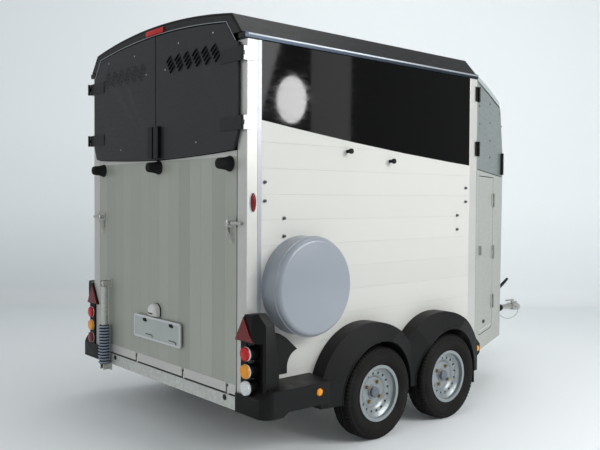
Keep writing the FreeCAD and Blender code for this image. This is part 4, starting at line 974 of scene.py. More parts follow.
NODE_FINISH = {
    "chassis_frame": ("galvanised", 0.001), "drawbar": ("galvanised", 0.001), "floor": ("floor", 0),
    "axles": ("galvanised", 0.001), "side_walls": ("side", 0.001), "side_windows": ("glass", 0.0015),
    "corner_posts": ("post", 0.004), "mudflaps": ("rubber", 0.001), "roof_rails": ("rail", 0.004),
    "roof": ("roof", 0.004), "rear_header": ("header", 0.003), "nose_cap": ("cap", 0.003),
    "nose_sides": ("panel", 0.001), "nose_front": ("panel", 0.001), "ramp": ("ramp", 0.002),
    "ramp_hardware": ("zinc", 0.001), "spring_bar": ("galvanised", 0.001),
    "door_holdbacks": ("rubber", 0.002), "partition": ("padding", 0.002), "stall_bars": ("zinc", 0.001),
    "fenders": ("black", 0.006), "lamp_housings": ("black", 0.004), "reflectors": ("deep_red", 0.001),
    "marker_brackets": ("black", 0.002), "wheel_chocks": ("black", 0.002),
    "body_hinges": ("smooth_black", 0.0015), "coupling_head": ("zinc", 0.002),
    "coupling_handle": ("zinc", 0.002), "brake_lever": ("smooth_black", 0.002),
    "jockey_clamp": ("zinc", 0.001), "jockey_fork": ("zinc", 0.001), "jockey_wheel": ("rubber", 0.003),
    "top_door": ("leaf", 0.004), "top_door_fittings": ("smooth_black", 0.0015),
    "nose_upper_door": ("door_grey", 0.002), "nose_upper_fittings": ("smooth_black", 0.0015),
    "nose_lower_door": ("panel", 0.002), "nose_lower_fittings": ("panel", 0.0015), "rim": ("wheel", 0.0008),
}


@dataclass
class BreakawayCable:
    """Thin coated cable from the coupling down to the drawbar."""

    route: tuple[Triple, ...] = (
        (4206, -34.3, 448), (4206, -60, 448), (4196, -84, 430), (4166, -98, 398), (4120, -104, 372),
        (4060, -106, 355), (3998, -104, 349), (3940, -102, 356), (3896, -101, 371), (3868, -98, 389),
        (3858, -82, 397), (3858, -60.3, 397))
    radius: float = 0.0025
    length: float = 0.457

    def build(self) -> None:
        """Lay one smooth curve through the route's control points."""
        curve = bpy.data.curves.new("breakaway_cable_look", "CURVE")
        curve.dimensions = "3D"
        curve.bevel_depth = self.radius
        curve.bevel_resolution = 4
        spline = curve.splines.new("NURBS")
        spline.points.add(len(self.route) - 1)
        places = np.array([np.append(at(*point), 1.0) for point in self.route])
        spline.points.foreach_set("co", places.ravel())
        spline.order_u = 3
        spline.use_endpoint_u = True
        spline.resolution_u = 8
        curve.materials.append(finish("cable"))
        cable = placed("breakaway_cable_look", curve)
        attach(cable, "trailer_body")
        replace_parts(cable, "breakaway_cable")
        LOG.info("%s: one cable", cable.name)


@dataclass
class Wheel:
    """Road tyre with a blocked tread, brass wheel nuts, hub cap and valve."""

    axle: str
    side: str
    radius: float = 298.0
    middle_y: float = 1012.0
    bead: Pair = (168.0, 58.5)
    side_low: Pair = (184.0, 62.5)
    side_high: Pair = (274.0, 73.5)
    bulge: float = 14.5
    tread_half: float = 48.5
    groove: float = 7.0
    pitches: int = 72
    disc_out: float = 10.0
    nut_ring: float = 69.85
    first_nut: float = 57.0
    cap_out: float = 33.0
    cap_radius: float = 34.5
    valve_out: float = 12.0
    valve_ring: float = 142.0
    valve_turn: float = 2.2

    @property
    def sign(self) -> float:
        """1 on the left and -1 on the right."""
        return SIDES[self.side]

    @property
    def body(self) -> str:
        """The CAD body of this wheel."""
        return f"wheel_{self.axle}_{self.side}"

    def centre(self, along: float = 0.0) -> Triple:
        """A place on the axle, so far outward from the tyre's middle."""
        return (AXLE_X[self.axle], self.sign * (self.middle_y + along), self.radius)

    def on_disc(self, ring: float, turn: float, out: float) -> Triple:
        """A place at a radius and an angle about the axle, so far outward."""
        x, y, z = self.centre(out)
        return (x + ring * math.cos(turn), y, z + ring * math.sin(turn))

    def half_section(self) -> np.ndarray:
        """Outer half of the tyre's section.

        Returns:
            Rows of radius, distance from the middle, groove depth and a mark of 1 where
            the shoulder blocks are cut. The wall is a straight line with a sine bulge and
            two moulded rings, the shoulder a quarter ellipse, the tread level.
        """
        u = np.linspace(0.0, 1.0, 24)
        wall_r = self.side_low[0] + (self.side_high[0] - self.side_low[0]) * u
        wall_d = (self.side_low[1] + (self.side_high[1] - self.side_low[1]) * u
                  + self.bulge * np.sin(math.pi * u))
        for ring, lift in ((201.0, 1.6), (258.0, 1.3)):
            wall_d += lift * np.exp(-((wall_r - ring) / 2.6) ** 2)
        v = np.linspace(0.0, math.pi / 2, 8)[1:]
        shoulder_r = self.side_high[0] + (self.radius - self.side_high[0]) * np.sin(v)
        shoulder_d = self.tread_half + (self.side_high[1] - self.tread_half) * np.cos(v)
        tread_d = np.array([40.0, 29.5, 28.3, 21.2, 20.0, 5.0, 3.8])
        depth = np.array([0.0, 0.0, self.groove, self.groove, 0.0, 0.0, self.groove])
        radius = np.concatenate([[self.bead[0]], wall_r, shoulder_r, np.full(len(tread_d), self.radius)])
        along = np.concatenate([[self.bead[1]], wall_d, shoulder_d, tread_d])
        grooves = np.concatenate([np.zeros(len(radius) - len(depth)), depth])
        cut = ((radius > 262.0) & (along > 29.0)).astype(float)
        return np.stack([radius, along, grooves, cut], axis=1)

    def tyre(self) -> None:
        """Carry the section round the axle.

        The radius at angle a is the section's radius less its groove, less 5 mm in the
        shoulder between the blocks; each pitch has four angles.
        """
        half = self.half_section()
        other = half[::-1] * np.array([1.0, -1.0, 1.0, 1.0])
        section = np.concatenate([half, other])
        share = np.array([0.0, 0.60, 0.66, 0.94])
        angle = ((np.arange(self.pitches)[:, None] + share).ravel() * 2 * math.pi / self.pitches)[:, None]
        low = np.tile([0.0, 0.0, 5.0, 5.0], self.pitches)[:, None]
        radius = section[:, 0] - section[:, 2] - low * section[:, 3]
        x, y, z = self.centre()
        across = np.broadcast_to(y + self.sign * section[:, 1], radius.shape)
        spots = np.stack([x + radius * np.cos(angle), across, z + radius * np.sin(angle)], axis=-1)
        where = f"{self.axle}_{self.side}"
        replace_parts(Mould().grid(spots, True, True).piece("tyre_tread_" + where, self.body, "tyre"),
                    "tyre_" + where)

    def fittings(self) -> None:
        """Four nuts, the domed hub cap and the valve."""
        out = (0.0, self.sign, 0.0)
        nut = [(14.0, 0.0), (14.0, 2.5), (11.0, 3.0), (11.0, 13.0), (9.0, 16.0), (2.0, 17.0)]
        valve = [(4.0, -10.0), (4.0, 12.0), (5.0, 13.0), (5.0, 24.0), (3.0, 26.0)]
        cap = [(self.cap_radius, -22.0), (self.cap_radius, -2.0)]
        cap += [(self.cap_radius * math.cos(t) ** 0.6 + 0.2, 5.0 * math.sin(t))
                for t in np.linspace(0.05, math.pi / 2, 10)]
        nuts = Mould()
        for turn in range(4):
            angle = math.radians(self.first_nut + 90 * turn)
            nuts.turn(nut, self.on_disc(self.nut_ring, angle, self.disc_out), out, 6)
        where = f"{self.axle}_{self.side}"
        nuts.piece("wheel_nuts_" + where, self.body, "brass")
        Mould().turn(cap, self.centre(self.cap_out), out, 40).piece("hub_cap_" + where, self.body, "hub")
        spot = self.on_disc(self.valve_ring, self.valve_turn, self.valve_out)
        Mould().turn(valve, spot, out, 12).piece("valve_" + where, self.body, "rubber")

    def build(self) -> None:
        """Make the tyre and what is on the wheel."""
        self.tyre()
        self.fittings()


@dataclass
class FenderLips:
    """Rolled lip round each fender's opening."""

    centre_z: float = 298.0
    radius: float = 341.0
    out: float = 1102.0
    tucks: Pair = (34.0, 104.0)
    bead: float = 5.0
    ahead: float = 90.0
    slope: float = 61.0 / 322.0
    behind: float = 230.0
    tail: float = 298.0

    def build(self) -> None:
        """Lay a bar along each opening.

        Beyond the distance ahead of the axle the arc stands out less by the slope, and
        beyond the distance behind it by the tuck and 1 mm over the tail's length.
        """
        angle = np.radians(np.linspace(-2.5, 182.5, 72))
        along, up = self.radius * np.cos(angle), self.radius * np.sin(angle)
        mould = Mould()
        for sign in SIDES.values():
            for x, tuck in zip(AXLE_X.values(), self.tucks):
                fall = (np.maximum(along - self.ahead, 0) * self.slope
                        + np.maximum(-along - self.behind, 0) * (tuck + 1) / self.tail)
                path = np.stack([x + along, sign * (self.out - fall), self.centre_z + up], axis=1)
                mould.bar(path, self.bead, (0.0, 1.0, 0.0))
        mould.piece("fender_lips", "trailer_body", "black")


@dataclass
class RearDoors:
    """Hoods of the air slots, rivets and the pale line over both top doors."""

    face_x: float = -26.0
    side_top: float = 2440.0
    slot_long: float = 62.0
    slot_wide: float = 9.0
    hood_wide: float = 17.0
    hood_high: float = 11.0
    tilt: float = 38.0
    groups: int = 6
    rows: int = 4
    first_y: float = 150.0
    group_step: float = 100.0
    row_step: Pair = (15.0, 23.0)
    below_top: float = 65.0
    rivets: tuple[Pair, ...] = ((282, 2529), (663, 2530), (122, 2382), (483, 1893))
    line_x: float = -26.5
    line_y: Pair = (887.0, 796.0)
    line_z: Triple = (2450.0, 2571.0, 2626.0)
    line_steps: int = 41

    def hoods(self, side: str) -> None:
        """Pressed hood over each slot of one leaf, with a thin black strip at its open side below as painted
        shade in the slot.

        A ring's points are middle + along * run + across * rise in the leaf's plane and
        a height out from it; the height shrinks to the hood's ends by the square root
        of one minus the sixth power of the share.

        Args:
            side: left or right.
        """
        sign = SIDES[side]
        run, rise = math.cos(math.radians(self.tilt)), math.sin(math.radians(self.tilt))
        reach = self.slot_long / 2 + 2
        along = np.linspace(-reach, reach, 9)[:, None]
        swell = np.sqrt(np.clip(1 - (along / (reach + 0.5)) ** 6, 0.02, 1))
        mouth = -self.slot_wide / 2
        hood_ring = np.array([(mouth + self.hood_wide, -0.3), (mouth + 4, 0.86 * self.hood_high),
                              (mouth + 1, self.hood_high), (mouth, self.hood_high - 0.6), (mouth, -0.3)])
        # painted shade: a thin black strip closes the hood's open side, where the slot lies in shadow
        mouth_shade_ring = np.array([(mouth + 0.1, self.hood_high - 1.6), (mouth - 0.5, self.hood_high - 1.6),
                              (mouth - 0.5, 0.2), (mouth + 0.1, 0.2)])
        hoods, mouth_shades = Mould(), Mould()
        for group in range(self.groups):
            for row in range(self.rows):
                y = self.first_y + self.group_step * group + self.row_step[0] * (self.rows - row)
                z = self.side_top - self.below_top + self.row_step[1] * row
                for mould, ring in ((hoods, hood_ring), (mouth_shades, mouth_shade_ring)):
                    across, high = ring[:, 0] * np.ones_like(along), ring[:, 1] * swell
                    mould.skin(np.stack([self.face_x - high, sign * (y + along * run - across * rise),
                                         z + along * rise + across * run], axis=-1))
        hoods.piece("slot_hoods_" + side, "top_door_" + side, "leaf")
        mouth_shades.piece("slot_mouth_shade_" + side, "top_door_" + side, "smooth_black")

    def studs(self, side: str) -> None:
        """Make the small domed rivets of one leaf.

        Args:
            side: left or right.
        """
        rivet = [(5.5, -0.5), (5.5, 0.8), (4.0, 2.4), (1.2, 3.0)]
        mould = Mould()
        for y, z in self.rivets:
            mould.turn(rivet, (self.face_x, SIDES[side] * y, z), BACKWARD, 12)
        mould.piece("door_rivets_" + side, "top_door_" + side, "zinc")

    def line(self) -> None:
        """Pale edging that follows the doors' top: a slope each side, and an arc between.

        The arc's height at y is the middle's less the rise times (y / bend)^2.
        """
        side, bend = self.line_y
        foot, knee, middle = self.line_z
        y = np.linspace(bend, -bend, self.line_steps)
        z = middle - (middle - knee) * (y / bend) ** 2
        arch = np.stack([np.full(self.line_steps, self.line_x), y, z], axis=1)
        path = np.concatenate([[[self.line_x, side, foot]], arch, [[self.line_x, -side, foot]]])
        Mould().bar(path, 2.4, (1.0, 0.0, 0.0), 8).piece("door_edging", "trailer_body", "band")

    def build(self) -> None:
        """Make the parts of both leaves."""
        for side in SIDES:
            self.hoods(side)
            self.studs(side)
        self.line()


@dataclass
class TailLamps:
    """Round lenses in bezels, and the high brake lamp."""

    lamp_y: float = 978.0
    heights: Triple = (475.0, 570.0, 670.0)
    back: float = -8.6
    radius: float = 40.0
    rim: float = 1.4
    high_spot: Pair = (0.0, 2646.0)
    high_size: Triple = (218.0, 35.0, 9.0)

    def lens(self, mould: Mould, sign: float, z: float) -> None:
        """Add a domed lens: a bezel's step, then a quarter ellipse.

        Args:
            mould: what it is added to.
            sign: 1 on the left and -1 on the right.
            z: height of its middle.
        """
        profile = [(self.radius, 0.0), (self.radius, 17.0), (self.radius - 1.5, 19.5),
                   (self.radius - 4.0, 20.0), (self.radius - 5.0, 18.5)]
        profile += [(0.4 + (self.radius - 6.0) * math.cos(t), 19.0 + 6.3 * math.sin(t))
                    for t in np.linspace(0.0, math.pi / 2, 9)]
        mould.turn(profile, (self.back, sign * self.lamp_y, z), BACKWARD, 48)

    def build(self) -> None:
        """Make one piece for each colour."""
        low, middle, high = self.heights
        pieces = []
        for name, dress, places in (
                ("lenses_red", "red", [(1.0, high), (-1.0, high)]),
                ("lenses_amber", "amber", [(1.0, middle), (-1.0, middle)]),
                ("lens_fog", "deep_red", [(1.0, low)]),
                ("lens_reverse", "clear", [(-1.0, low)])):
            mould = Mould()
            for sign, z in places:
                self.lens(mould, sign, z)
            pieces.append(mould.piece(name, "trailer_body", dress))
        rim = [(self.radius + self.rim, 0.0), (self.radius + self.rim, 8.0),
               (self.radius + self.rim - 1, 9.0), (1.0, 9.0)]
        rims = Mould()
        for sign in SIDES.values():
            for z in self.heights:
                rims.turn(rim, (self.back, sign * self.lamp_y, z), BACKWARD, 40)
        rims.piece("lens_rims", "trailer_body", "clear")
        bar = Mould().slab(oblong(*self.high_spot, *self.high_size), rear_plane(-26.4),
                           ((0.0, 0.0), (0.0, 9.0), (1.6, 12.2), (5.0, 13.6)))
        pieces.append(bar.piece("high_lamp", "trailer_body", "red"))
        for piece in pieces:
            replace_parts(piece, "tail_lamps")


@dataclass
class SideMarkers:
    """Amber discs on the bumper and at the front, red ovals on the rear posts."""

    bumper_spot: Triple = (397.0, 1149.0, 420.0)
    front_spot: Triple = (2150.0, 1010.0, 430.0)
    radius: float = 22.0
    oval: tuple[float, float, float, float] = (43.0, 1527.5, 40.0, 108.0)
    face_y: float = 963.2

    def build(self) -> None:
        """Make the domed discs and the ovals."""
        amber, red, rim = Mould(), Mould(), Mould()
        profile = [(self.radius, -1.0), (self.radius, 5.0), (self.radius - 2.5, 7.5)]
        profile += [(0.3 + (self.radius - 3.5) * math.cos(t), 7.5 + 5.5 * math.sin(t))
                    for t in np.linspace(0.0, math.pi / 2, 8)]
        across, up, width, height = self.oval
        oval = disc(0.0, 0.0, 1.0, 40) * np.array([width / 2, height / 2]) + np.array([across, up])
        for sign in SIDES.values():
            for x, y, z in (self.bumper_spot, self.front_spot):
                amber.turn(profile, (x, sign * y, z), (0.0, sign, 0.0), 32)
            face = side_plane(self.face_y, sign)
            red.slab(oval, face, ((0.0, 2.0), (0.0, 6.0), (3.0, 9.5), (8.0, 11.5)))
            rim.slab(inset(oval, -2.5), face, ((0.0, 0.0), (0.0, 3.0), (1.0, 4.0)))
        rim.piece("post_marker_rims", "trailer_body", "clear")
        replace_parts(amber.piece("marker_lenses", "trailer_body", "amber"), "side_markers")
        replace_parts(red.piece("post_markers", "trailer_body", "deep_red"), "side_markers")


@dataclass
class SpareCover:
    """Round cover of the spare wheel: straight side, bead, shoulder and shallow dome."""

    centre: Triple = (407.0, -963.4, 1031.0)
    radius: float = 296.0
    bead: float = 3.6
    bead_out: float = 112.0
    face_radius: float = 262.0
    face_out: float = 152.0
    depth: float = 170.0

    def build(self) -> None:
        """Turn the profile.

        The bead is half a circle, the shoulder a quarter ellipse, and the face rises
        by one minus the square of the radius' share.
        """
        side = [(self.radius + 2, 0.0), (self.radius + 2, 8.0), (self.radius, 12.0)]
        bead = [(self.radius + self.bead * math.cos(t), self.bead_out + self.bead * math.sin(t))
                for t in np.linspace(-math.pi / 2, math.pi / 2, 7)]
        start = self.bead_out + self.bead + 1.5
        shoulder = [(self.face_radius + (self.radius - 2 - self.face_radius) * math.cos(t),
                     start + (self.face_out - start) * math.sin(t))
                    for t in np.linspace(0.0, math.pi / 2, 12)]
        swell = self.depth - self.face_out
        face = [(self.face_radius * share, self.face_out + swell * (1 - share ** 2))
                for share in np.linspace(0.93, 0.01, 14)]
        mould = Mould().turn(side + bead + shoulder + face, self.centre, (0.0, -1.0, 0.0), 128)
        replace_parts(mould.piece("spare_wheel_cover", "trailer_body", "cover"), "spare_cover")


@dataclass
class Gaiter:
    """Ribbed gaiter of the ramp spring, which bends as the ramp opens."""

    x: float = -49.0
    y: float = 700.0
    eye_z: float = 304.0
    first: float = 326.0
    last: float = 612.0
    ribs: int = 13
    radius: float = 39.3
    swell: float = 5.2
    eye_radius: float = 18.0

    def build(self) -> None:
        """Turn the ribs, whose radius is a mean less a cosine, and add the lower eye.

        Faces in the valleys, nearer to the axis than the mean less 0.35 of the swell,
        get the dark rubber as painted shade in the folds between the ribs.
        """
        z = np.linspace(self.first, self.last, self.ribs * 10 + 1)
        share = (z - self.first) / (self.last - self.first) * self.ribs
        ribs = np.stack([self.radius - self.swell * np.cos(2 * math.pi * share), z], axis=1)
        profile = [(15.0, self.eye_z), (15.0, self.first - 6), *ribs, (27.0, self.last)]
        eye = [(9.0, -14.0), (self.eye_radius, -13.0), (self.eye_radius, 13.0), (9.0, 14.0)]
        mould = Mould().turn(profile, (self.x, self.y, 0.0), (0.0, 0.0, 1.0), 40)
        mould.turn(eye, (self.x, self.y, self.eye_z), (0.0, 1.0, 0.0), 28)
        piece = mould.piece("spring_cover", None, "gaiter")
        mesh = piece.data
        mesh.materials.append(finish("rubber"))
        off = face_middles(mesh) - at(self.x, self.y, 0.0)
        # painted shade: valley faces take the dark rubber to darken the folds between the ribs
        dark = np.hypot(off[:, 0], off[:, 1]) < (self.radius - 0.35 * self.swell) / 1000.0
        mesh.polygons.foreach_set("material_index", dark.astype(np.int32))
        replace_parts(piece, "spring_gaiter")
        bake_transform(piece, "trailer_body", "ramp", start=tuple(at(self.x, self.y, 326.0)),
                 end=tuple(at(self.x, self.y, 612.0)))


@dataclass
class PlateHolder:
    """Blank plate tray with its clips and hooks."""

    width: float = 598.0
    height: float = 158.0
    corner: float = 20.0
    middle_z: float = 668.0
    clips: tuple[Pair, ...] = ((146.0, 720.0), (-192.0, 722.0))
    hooks: tuple[Pair, ...] = ((94.0, 622.0), (-203.0, 618.0))

    back: float = -12.2
    tray: tuple[Pair, ...] = (
        (0.0, 0.0), (0.0, 9.0), (1.5, 11.2), (4.0, 11.8), (14.0, 11.8), (16.0, 8.0), (17.0, 7.0))
    inner: tuple[Pair, ...] = ((16.5, 6.0), (16.5, 8.0), (18.0, 8.4))

    def rings(self, levels: tuple[Pair, ...]) -> np.ndarray:
        """The tray's outline at several heights.

        Args:
            levels: pairs of inset and height over the tray's back.

        Returns:
            Rings in millimetres. One drawn in by i is an oblong less 2 i wide and high,
            whose corner is less by i too, but never under 1.
        """
        return np.stack([rear_plane(self.back).spot(
            oblong(0.0, self.middle_z, self.width - 2 * by, self.height - 2 * by, max(self.corner - by, 1.0)),
            height) for by, height in levels])

    def build(self) -> None:
        """Make the tray with its raised rim, its field, two clips and two wire hooks."""
        tray, clips, hooks = Mould().skin(self.rings(self.tray)), Mould(), Mould()
        for y in (-200.0, 200.0):
            foot = oblong(y, self.middle_z, 40.0, 60.0, 6.0)
            tray.slab(foot, rear_plane(0.2), ((0.0, 0.0), (0.0, 12.5)))
        for y, z in self.clips:
            corners = np.array([(-26, -6), (-8, -13), (20, -11), (26, 8), (-4, 12)]) + np.array([y, z])
            clips.slab(rounded(corners, 4.0, 4), rear_plane(-18.0),
                       ((0.0, 0.0), (0.0, 7.0), (2.0, 10.0), (5.0, 11.0)))
        wire = np.array([(-22.0, 42, 4), (-23.5, 20, 4), (-23.5, -20, 4), (-23.5, -40, 3),
                         (-23.5, -45, -3), (-23.5, -45, -12)])
        for y, z in self.hooks:
            hooks.bar(wire + np.array([0.0, y, z]), 2.2, (1.0, 0.0, 0.0), 8)
        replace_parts(tray.piece("plate_tray", "ramp", "plate"), "plate_holder")
        Mould().skin(self.rings(self.inner)).piece("plate_field", "ramp", "tray")
        clips.piece("plate_clips", "ramp", "smooth_black")
        hooks.piece("plate_hooks", "ramp", "smooth_black")


@dataclass
class PlateLamp:
    """Domed lamp over the plate, on its dark gasket."""

    middle: Pair = (25.0, 800.0)
    width: float = 104.0
    height: float = 84.0

    def build(self) -> None:
        """Make the gasket and the dome, whose outline shrinks as it rises."""
        low = np.array([(-0.5, -0.44), (-0.44, -0.5), (0.44, -0.5), (0.5, -0.44)])
        turn = np.linspace(0.0, math.pi, 25)[:-1]
        arch = np.stack([0.5 * np.cos(turn), 0.5 * np.sin(turn)], axis=1)
        outline = np.concatenate([low, arch]) * np.array([self.width, self.height]) + np.array(self.middle)
        levels = [(0.0, 8.0)] + [(26.0 * (1 - math.cos(t)), 26.0 + 25.0 * math.sin(t))
                                 for t in np.linspace(0.0, math.pi / 2, 9)]
        face = rear_plane(0.2)
        gasket = Mould().slab(outline, face, ((-2.0, 0.0), (-2.0, 6.0), (0.0, 8.0)))
        gasket.piece("plate_lamp_gasket", "ramp", "rubber")
        dome = Mould().slab(outline, face, tuple(levels))
        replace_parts(dome.piece("plate_lamp_dome", "ramp", "lamp_white"), "plate_lamp")


@dataclass
class RampEdges:
    """Rubber feet, head strip and foot strip of the ramp, and the frame's sill and plugs."""

    foot_spots: tuple[Pair, ...] = ((-800.0, 1752.0), (0.0, 1752.0), (800.0, 1752.0))
    half: float = 866.0
    head_low: float = 1785.0
    head_x: Pair = (1.0, 13.0)
    door_low: float = 1798.0
    rise: Pair = (0.0145, 2.3e-5)
    sill: Triple = (395.0, 6.0, 1.0)
    sill_x: float = -1.5
    plugs: Pair = (612.0, -760.0)
    plug_z: float = 376.0
    lugs: Pair = (300.0, 780.0)
    lug_gap: float = 13.0
    strip: Triple = (439.0, 60.0, 2.0)
    steps: int = 61

    def foot_strip(self) -> Mould:
        """Flat strip along the ramp's foot.

        Returns:
            Five lengths, with gaps where the frame's lugs pass.
        """
        height, width, corner = self.strip
        edges = np.array([-self.half, *(-lug for lug in self.lugs[::-1]), *self.lugs, self.half])
        gaps = np.array([0.0] + [self.lug_gap] * (len(edges) - 2) + [0.0])
        mould = Mould()
        for low, high in zip((edges + gaps)[:-1], (edges - gaps)[1:]):
            mould.slab(oblong((low + high) / 2, height, high - low, width, corner), rear_plane(0.0),
                       ((0.0, 0.0), (0.0, 2.0), (1.0, 3.0)))
        return mould

    def head_strip(self) -> Mould:
        """Strip along the ramp's top.

        Returns:
            One length, whose top at y is the doors' lowest height + a |y| + b y^2.
        """
        y = np.linspace(-self.half, self.half, self.steps)
        top = self.door_low + self.rise[0] * np.abs(y) + self.rise[1] * y ** 2
        low = np.full(self.steps, self.head_low)
        outer, inner = self.head_x
        rings = [np.stack([np.full(self.steps, x), y, z], axis=1)
                 for x, z in ((outer, low), (outer, top), (inner, top), (inner, low))]
        return Mould().skin(np.stack(rings, axis=1))

    def build(self) -> None:
        """Make the five pieces."""
        foot = [(46.0, 0.0), (46.0, 6.0), (42.0, 12.0), (36.0, 40.0), (32.0, 78.0), (29.0, 86.0),
                (24.0, 89.0), (1.0, 89.8)]
        plug = [(17.0, 0.0), (17.0, 2.5), (15.0, 3.8), (1.0, 4.0)]
        feet, plugs = Mould(), Mould()
        for y, z in self.foot_spots:
            feet.turn(foot, (0.0, y, z), BACKWARD, 40)
        for y in self.plugs:
            plugs.turn(plug, (-4.0, y, self.plug_z), BACKWARD, 24)
        height, width, corner = self.sill
        sill = Mould().slab(oblong(0.0, height, 2 * self.half, width, corner), rear_plane(self.sill_x),
                            ((0.0, 0.0), (0.0, 1.8), (0.6, 2.4)))
        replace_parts(feet.piece("ramp_feet", "ramp", "rubber"), "ramp_stops")
        plugs.piece("frame_plugs", "trailer_body", "smooth_black")
        sill.piece("frame_sill", "trailer_body", "galvanised")
        self.foot_strip().piece("ramp_foot_strip", "ramp", "post")
        self.head_strip().piece("ramp_head_strip", "ramp", "post")


@dataclass
class WallFittings:
    """Dark studs in the side walls, and the grey strips beside the posts and under the rails."""

    studs: tuple[Pair, ...] = (
        (129, 1645), (129, 1536), (276, 1435), (276, 1329),
        (2050, 1635), (2050, 1533), (1950, 1432), (1950, 1329))
    face_y: float = 963.0
    strip: tuple[float, float, float, float] = (90.5, 1416.0, 29.0, 2078.0)
    rail_line: tuple[float, float, float, float] = (1092.0, 2480.0, 2180.0, 11.0)

    def build(self) -> None:
        """Make the studs and strips of both sides."""
        stud = [(11.0, -0.5), (11.0, 2.0), (6.0, 3.0), (5.0, 8.0), (8.5, 10.0), (8.5, 13.0), (5.0, 16.0),
                (1.0, 16.5)]
        studs, strips = Mould(), Mould()
        for sign in SIDES.values():
            for x, z in self.studs:
                studs.turn(stud, (x, sign * self.face_y, z), (0.0, sign, 0.0), 14)
            strips.slab(oblong(*self.strip, 2.0), side_plane(self.face_y - 0.4, sign),
                        ((0.0, 0.0), (0.0, 1.2), (1.0, 1.9)))
            strips.slab(oblong(*self.rail_line, 3.0), side_plane(self.face_y + 7.6, sign),
                        ((0.0, 0.0), (0.0, 1.2), (1.5, 2.0)))
        studs.piece("wall_studs", "trailer_body", "zinc_dark")
        strips.piece("post_strips", "trailer_body", "band")


@dataclass
class Nose:
    """Gasket under the cap, rivets, trims and latches of the nose doors."""

    start: Pair = (2190.0, 963.0)
    way: Pair = (0.930649, -0.365914)
    cap_line: tuple[Pair, ...] = ((-2, 2447), (385, 2394.5), (640, 2353.5), (780, 2331.5))
    rivets: tuple[Pair, ...] = (
        (75, 2265), (85, 2131), (427, 2319), (430, 2169), (432, 2026), (436, 1891), (801, 2282), (870, 2178))
    latch: tuple[float, ...] = (270.0, 584.0, 46.0, 24.0, 5.0)
    trim: tuple[float, ...] = (330.0, 528.0, 400.0, 12.0, 3.0)

    def plane(self, sign: float) -> Plane:
        """The flat panel of one side.

        Args:
            sign: 1 on the left and -1 on the right.

        Returns:
            A plane drawn in distance along the panel and height.
        """
        run, fall = self.way
        return Plane((self.start[0], sign * self.start[1], 0.0), (run, sign * fall, 0.0), (0.0, 0.0, 1.0),
                     (-fall, sign * run, 0.0))

    def build(self) -> None:
        """Make the fittings of both sides."""
        rivet = [(7.5, -1.0), (7.5, 1.0), (5.5, 2.8), (1.0, 3.6)]
        for side, sign in SIDES.items():
            plane = self.plane(sign)
            gasket = Mould().bar(plane.spot(np.array(self.cap_line, float), 0.6), 2.6, plane.out, 8)
            gasket.piece("cap_gasket_" + side, "trailer_body", "rubber")
            rivets = Mould()
            for spot in plane.spot(np.array(self.rivets, float)):
                rivets.turn(rivet, spot, plane.out, 12)
            rivets.piece("nose_rivets_" + side, "nose_upper_door_" + side, "smooth_black")
            latch = Mould().slab(oblong(*self.latch), plane, ((0.0, -0.3), (0.0, 5.0), (2.0, 8.0)))
            latch.piece("door_latch_" + side, "nose_lower_door_" + side, "smooth_black")
            trim = Mould().slab(oblong(*self.trim), plane, ((0.0, -0.3), (0.0, 3.0), (2.0, 4.0)))
            trim.piece("door_trim_" + side, "nose_lower_door_" + side, "post")


@dataclass
class Hitch:
    """Grip of the parking brake lever and bolts of the coupling's housing."""

    lever_start: Triple = (3790.0, 55.0, 486.0)
    lever_end: Triple = (4210.0, 55.0, 724.0)
    grip_from: float = 0.52
    grip_radius: float = 12.8
    grip_swell: float = 2.6
    bolt_x: Triple = (3680.0, 3750.0, 3850.0)
    bolt_y: float = 48.0
    bolt_z: float = 438.0

    def build(self) -> None:
        """Make the swelling lever grip and the bolts of the housing."""
        start, end = np.array(self.lever_start), np.array(self.lever_end)
        share = np.linspace(self.grip_from, 1.0, 15)
        swell = self.grip_swell * np.sin(np.pi * (share - self.grip_from) / (1 - self.grip_from))
        path = start + share[:, None] * (end - start)
        grip = Mould().bar(path, self.grip_radius + swell, (0.0, 1.0, 0.0), 16)
        grip.piece("lever_grip", "trailer_body", "smooth_black")
        bolt = [(11.0, -0.5), (11.0, 2.0), (8.5, 2.2), (8.5, 9.0), (4.0, 10.5), (1.0, 10.8)]
        bolts = Mould()
        for x in self.bolt_x:
            for sign in SIDES.values():
                bolts.turn(bolt, (x, sign * self.bolt_y, self.bolt_z), (0.0, sign, 0.0), 6)
        bolts.piece("housing_bolts", "trailer_body", "zinc")


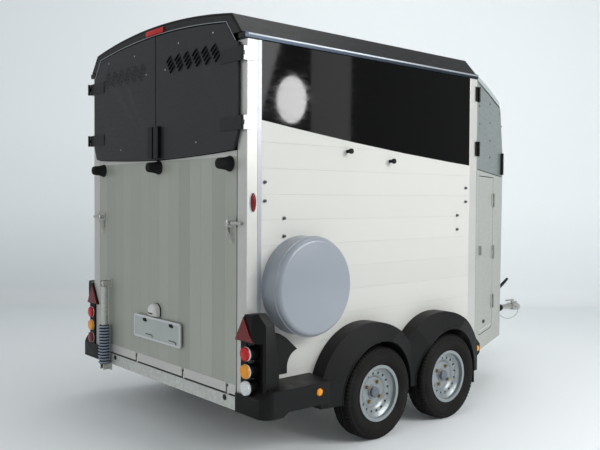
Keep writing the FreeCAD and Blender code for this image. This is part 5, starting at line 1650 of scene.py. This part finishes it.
@dataclass
class LatchPins:
    """Spring clips that hang from the ramp latches."""

    latch_y: float = 812.0
    latch_z: float = 1408.0
    wire: tuple[Triple, ...] = (
        (-30, -6, -14), (-31, -3, -32), (-24, -8, -56), (-16, -15, -84), (-12, -20, -106), (-12, -16, -116),
        (-12, -9, -110), (-14, -4, -82), (-20, 3, -50), (-28, 5, -24))
    wire_radius: float = 2.6
    eye_x: float = -34.0

    def build(self) -> None:
        """Make a round eye and a bent wire on each side; both wires bend the same way."""
        eye = [(20.0, -1.0), (20.0, 1.5), (17.0, 4.0), (9.0, 5.5), (1.0, 6.0)]
        mould = Mould()
        for sign in SIDES.values():
            y = sign * self.latch_y
            mould.bar(np.array(self.wire, float) + np.array([0.0, y, self.latch_z]), self.wire_radius,
                      (1.0, 0.0, 0.0), 8)
            mould.turn(eye, (self.eye_x, y, self.latch_z), BACKWARD, 24)
        mould.piece("latch_clips", "ramp", "zinc")


ZONES = {
    "coupling_head": (Zone("smooth_black", (3600, -200, 300), (3868, 200, 700)),
                      Zone("rubber", (3868, -200, 300), (4012, 200, 700))),
    "body_hinges": (Zone("panel", (2100, -2000, 0), (4000, 2000, 1700)),
                    Zone("post", (-9, -1100, 1700), (300, 1100, 2700))),
    "roof_rails": (Zone("smooth_black", (-100, -1100, 2400), (-4, 1100, 2600)),),
    "top_door_fittings_left": (Zone("header", (-200, 600, 0), (200, 1200, 3000)),),
    "top_door_fittings_right": (Zone("header", (-200, -1200, 0), (200, -600, 3000)),),
    "jockey_clamp": (Zone("smooth_black", (3400, 0, 740), (3800, 400, 900)),),
}


def dress_nodes(frame: dict, kept: set[str]) -> None:
    """Give every CAD node that no class rebuilds a softened copy with its finish.

    A node's finish is found by its name, or by its name without the last word or two,
    which say where it is.

    Args:
        kept: nodes that another piece already stands for.
    """
    for node in sorted(frame["nodes"]):
        if node in kept:
            continue
        stems = (node.rsplit("_", count)[0] for count in range(3))
        dress, width = next(NODE_FINISH[stem] for stem in stems if stem in NODE_FINISH)
        piece = softened(frame, node, dress, width, ZONES.get(node, ()))


def main() -> None:
    """Build the studio and every sub-assembly in order."""
    logging.basicConfig(level=logging.INFO, format="%(message)s")
    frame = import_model()
    Studio().build()
    BreakawayCable().build()
    wheels = [Wheel(axle, side) for axle in ("rear", "front") for side in SIDES]
    for part in [*wheels, FenderLips(), RearDoors(), TailLamps(), SideMarkers(), SpareCover(), Gaiter(),
                 PlateHolder(), PlateLamp(), RampEdges(), WallFittings(), Nose(), Hitch(), LatchPins()]:
        part.build()
    rebuilt = {"breakaway_cable", "tail_lamps", "side_markers", "spare_cover", "spring_gaiter",
               "plate_holder", "plate_lamp", "ramp_stops"}
    dress_nodes(frame, rebuilt | {node for node in frame["nodes"] if "tyre" in node})


if __name__ == "__main__":
    main()
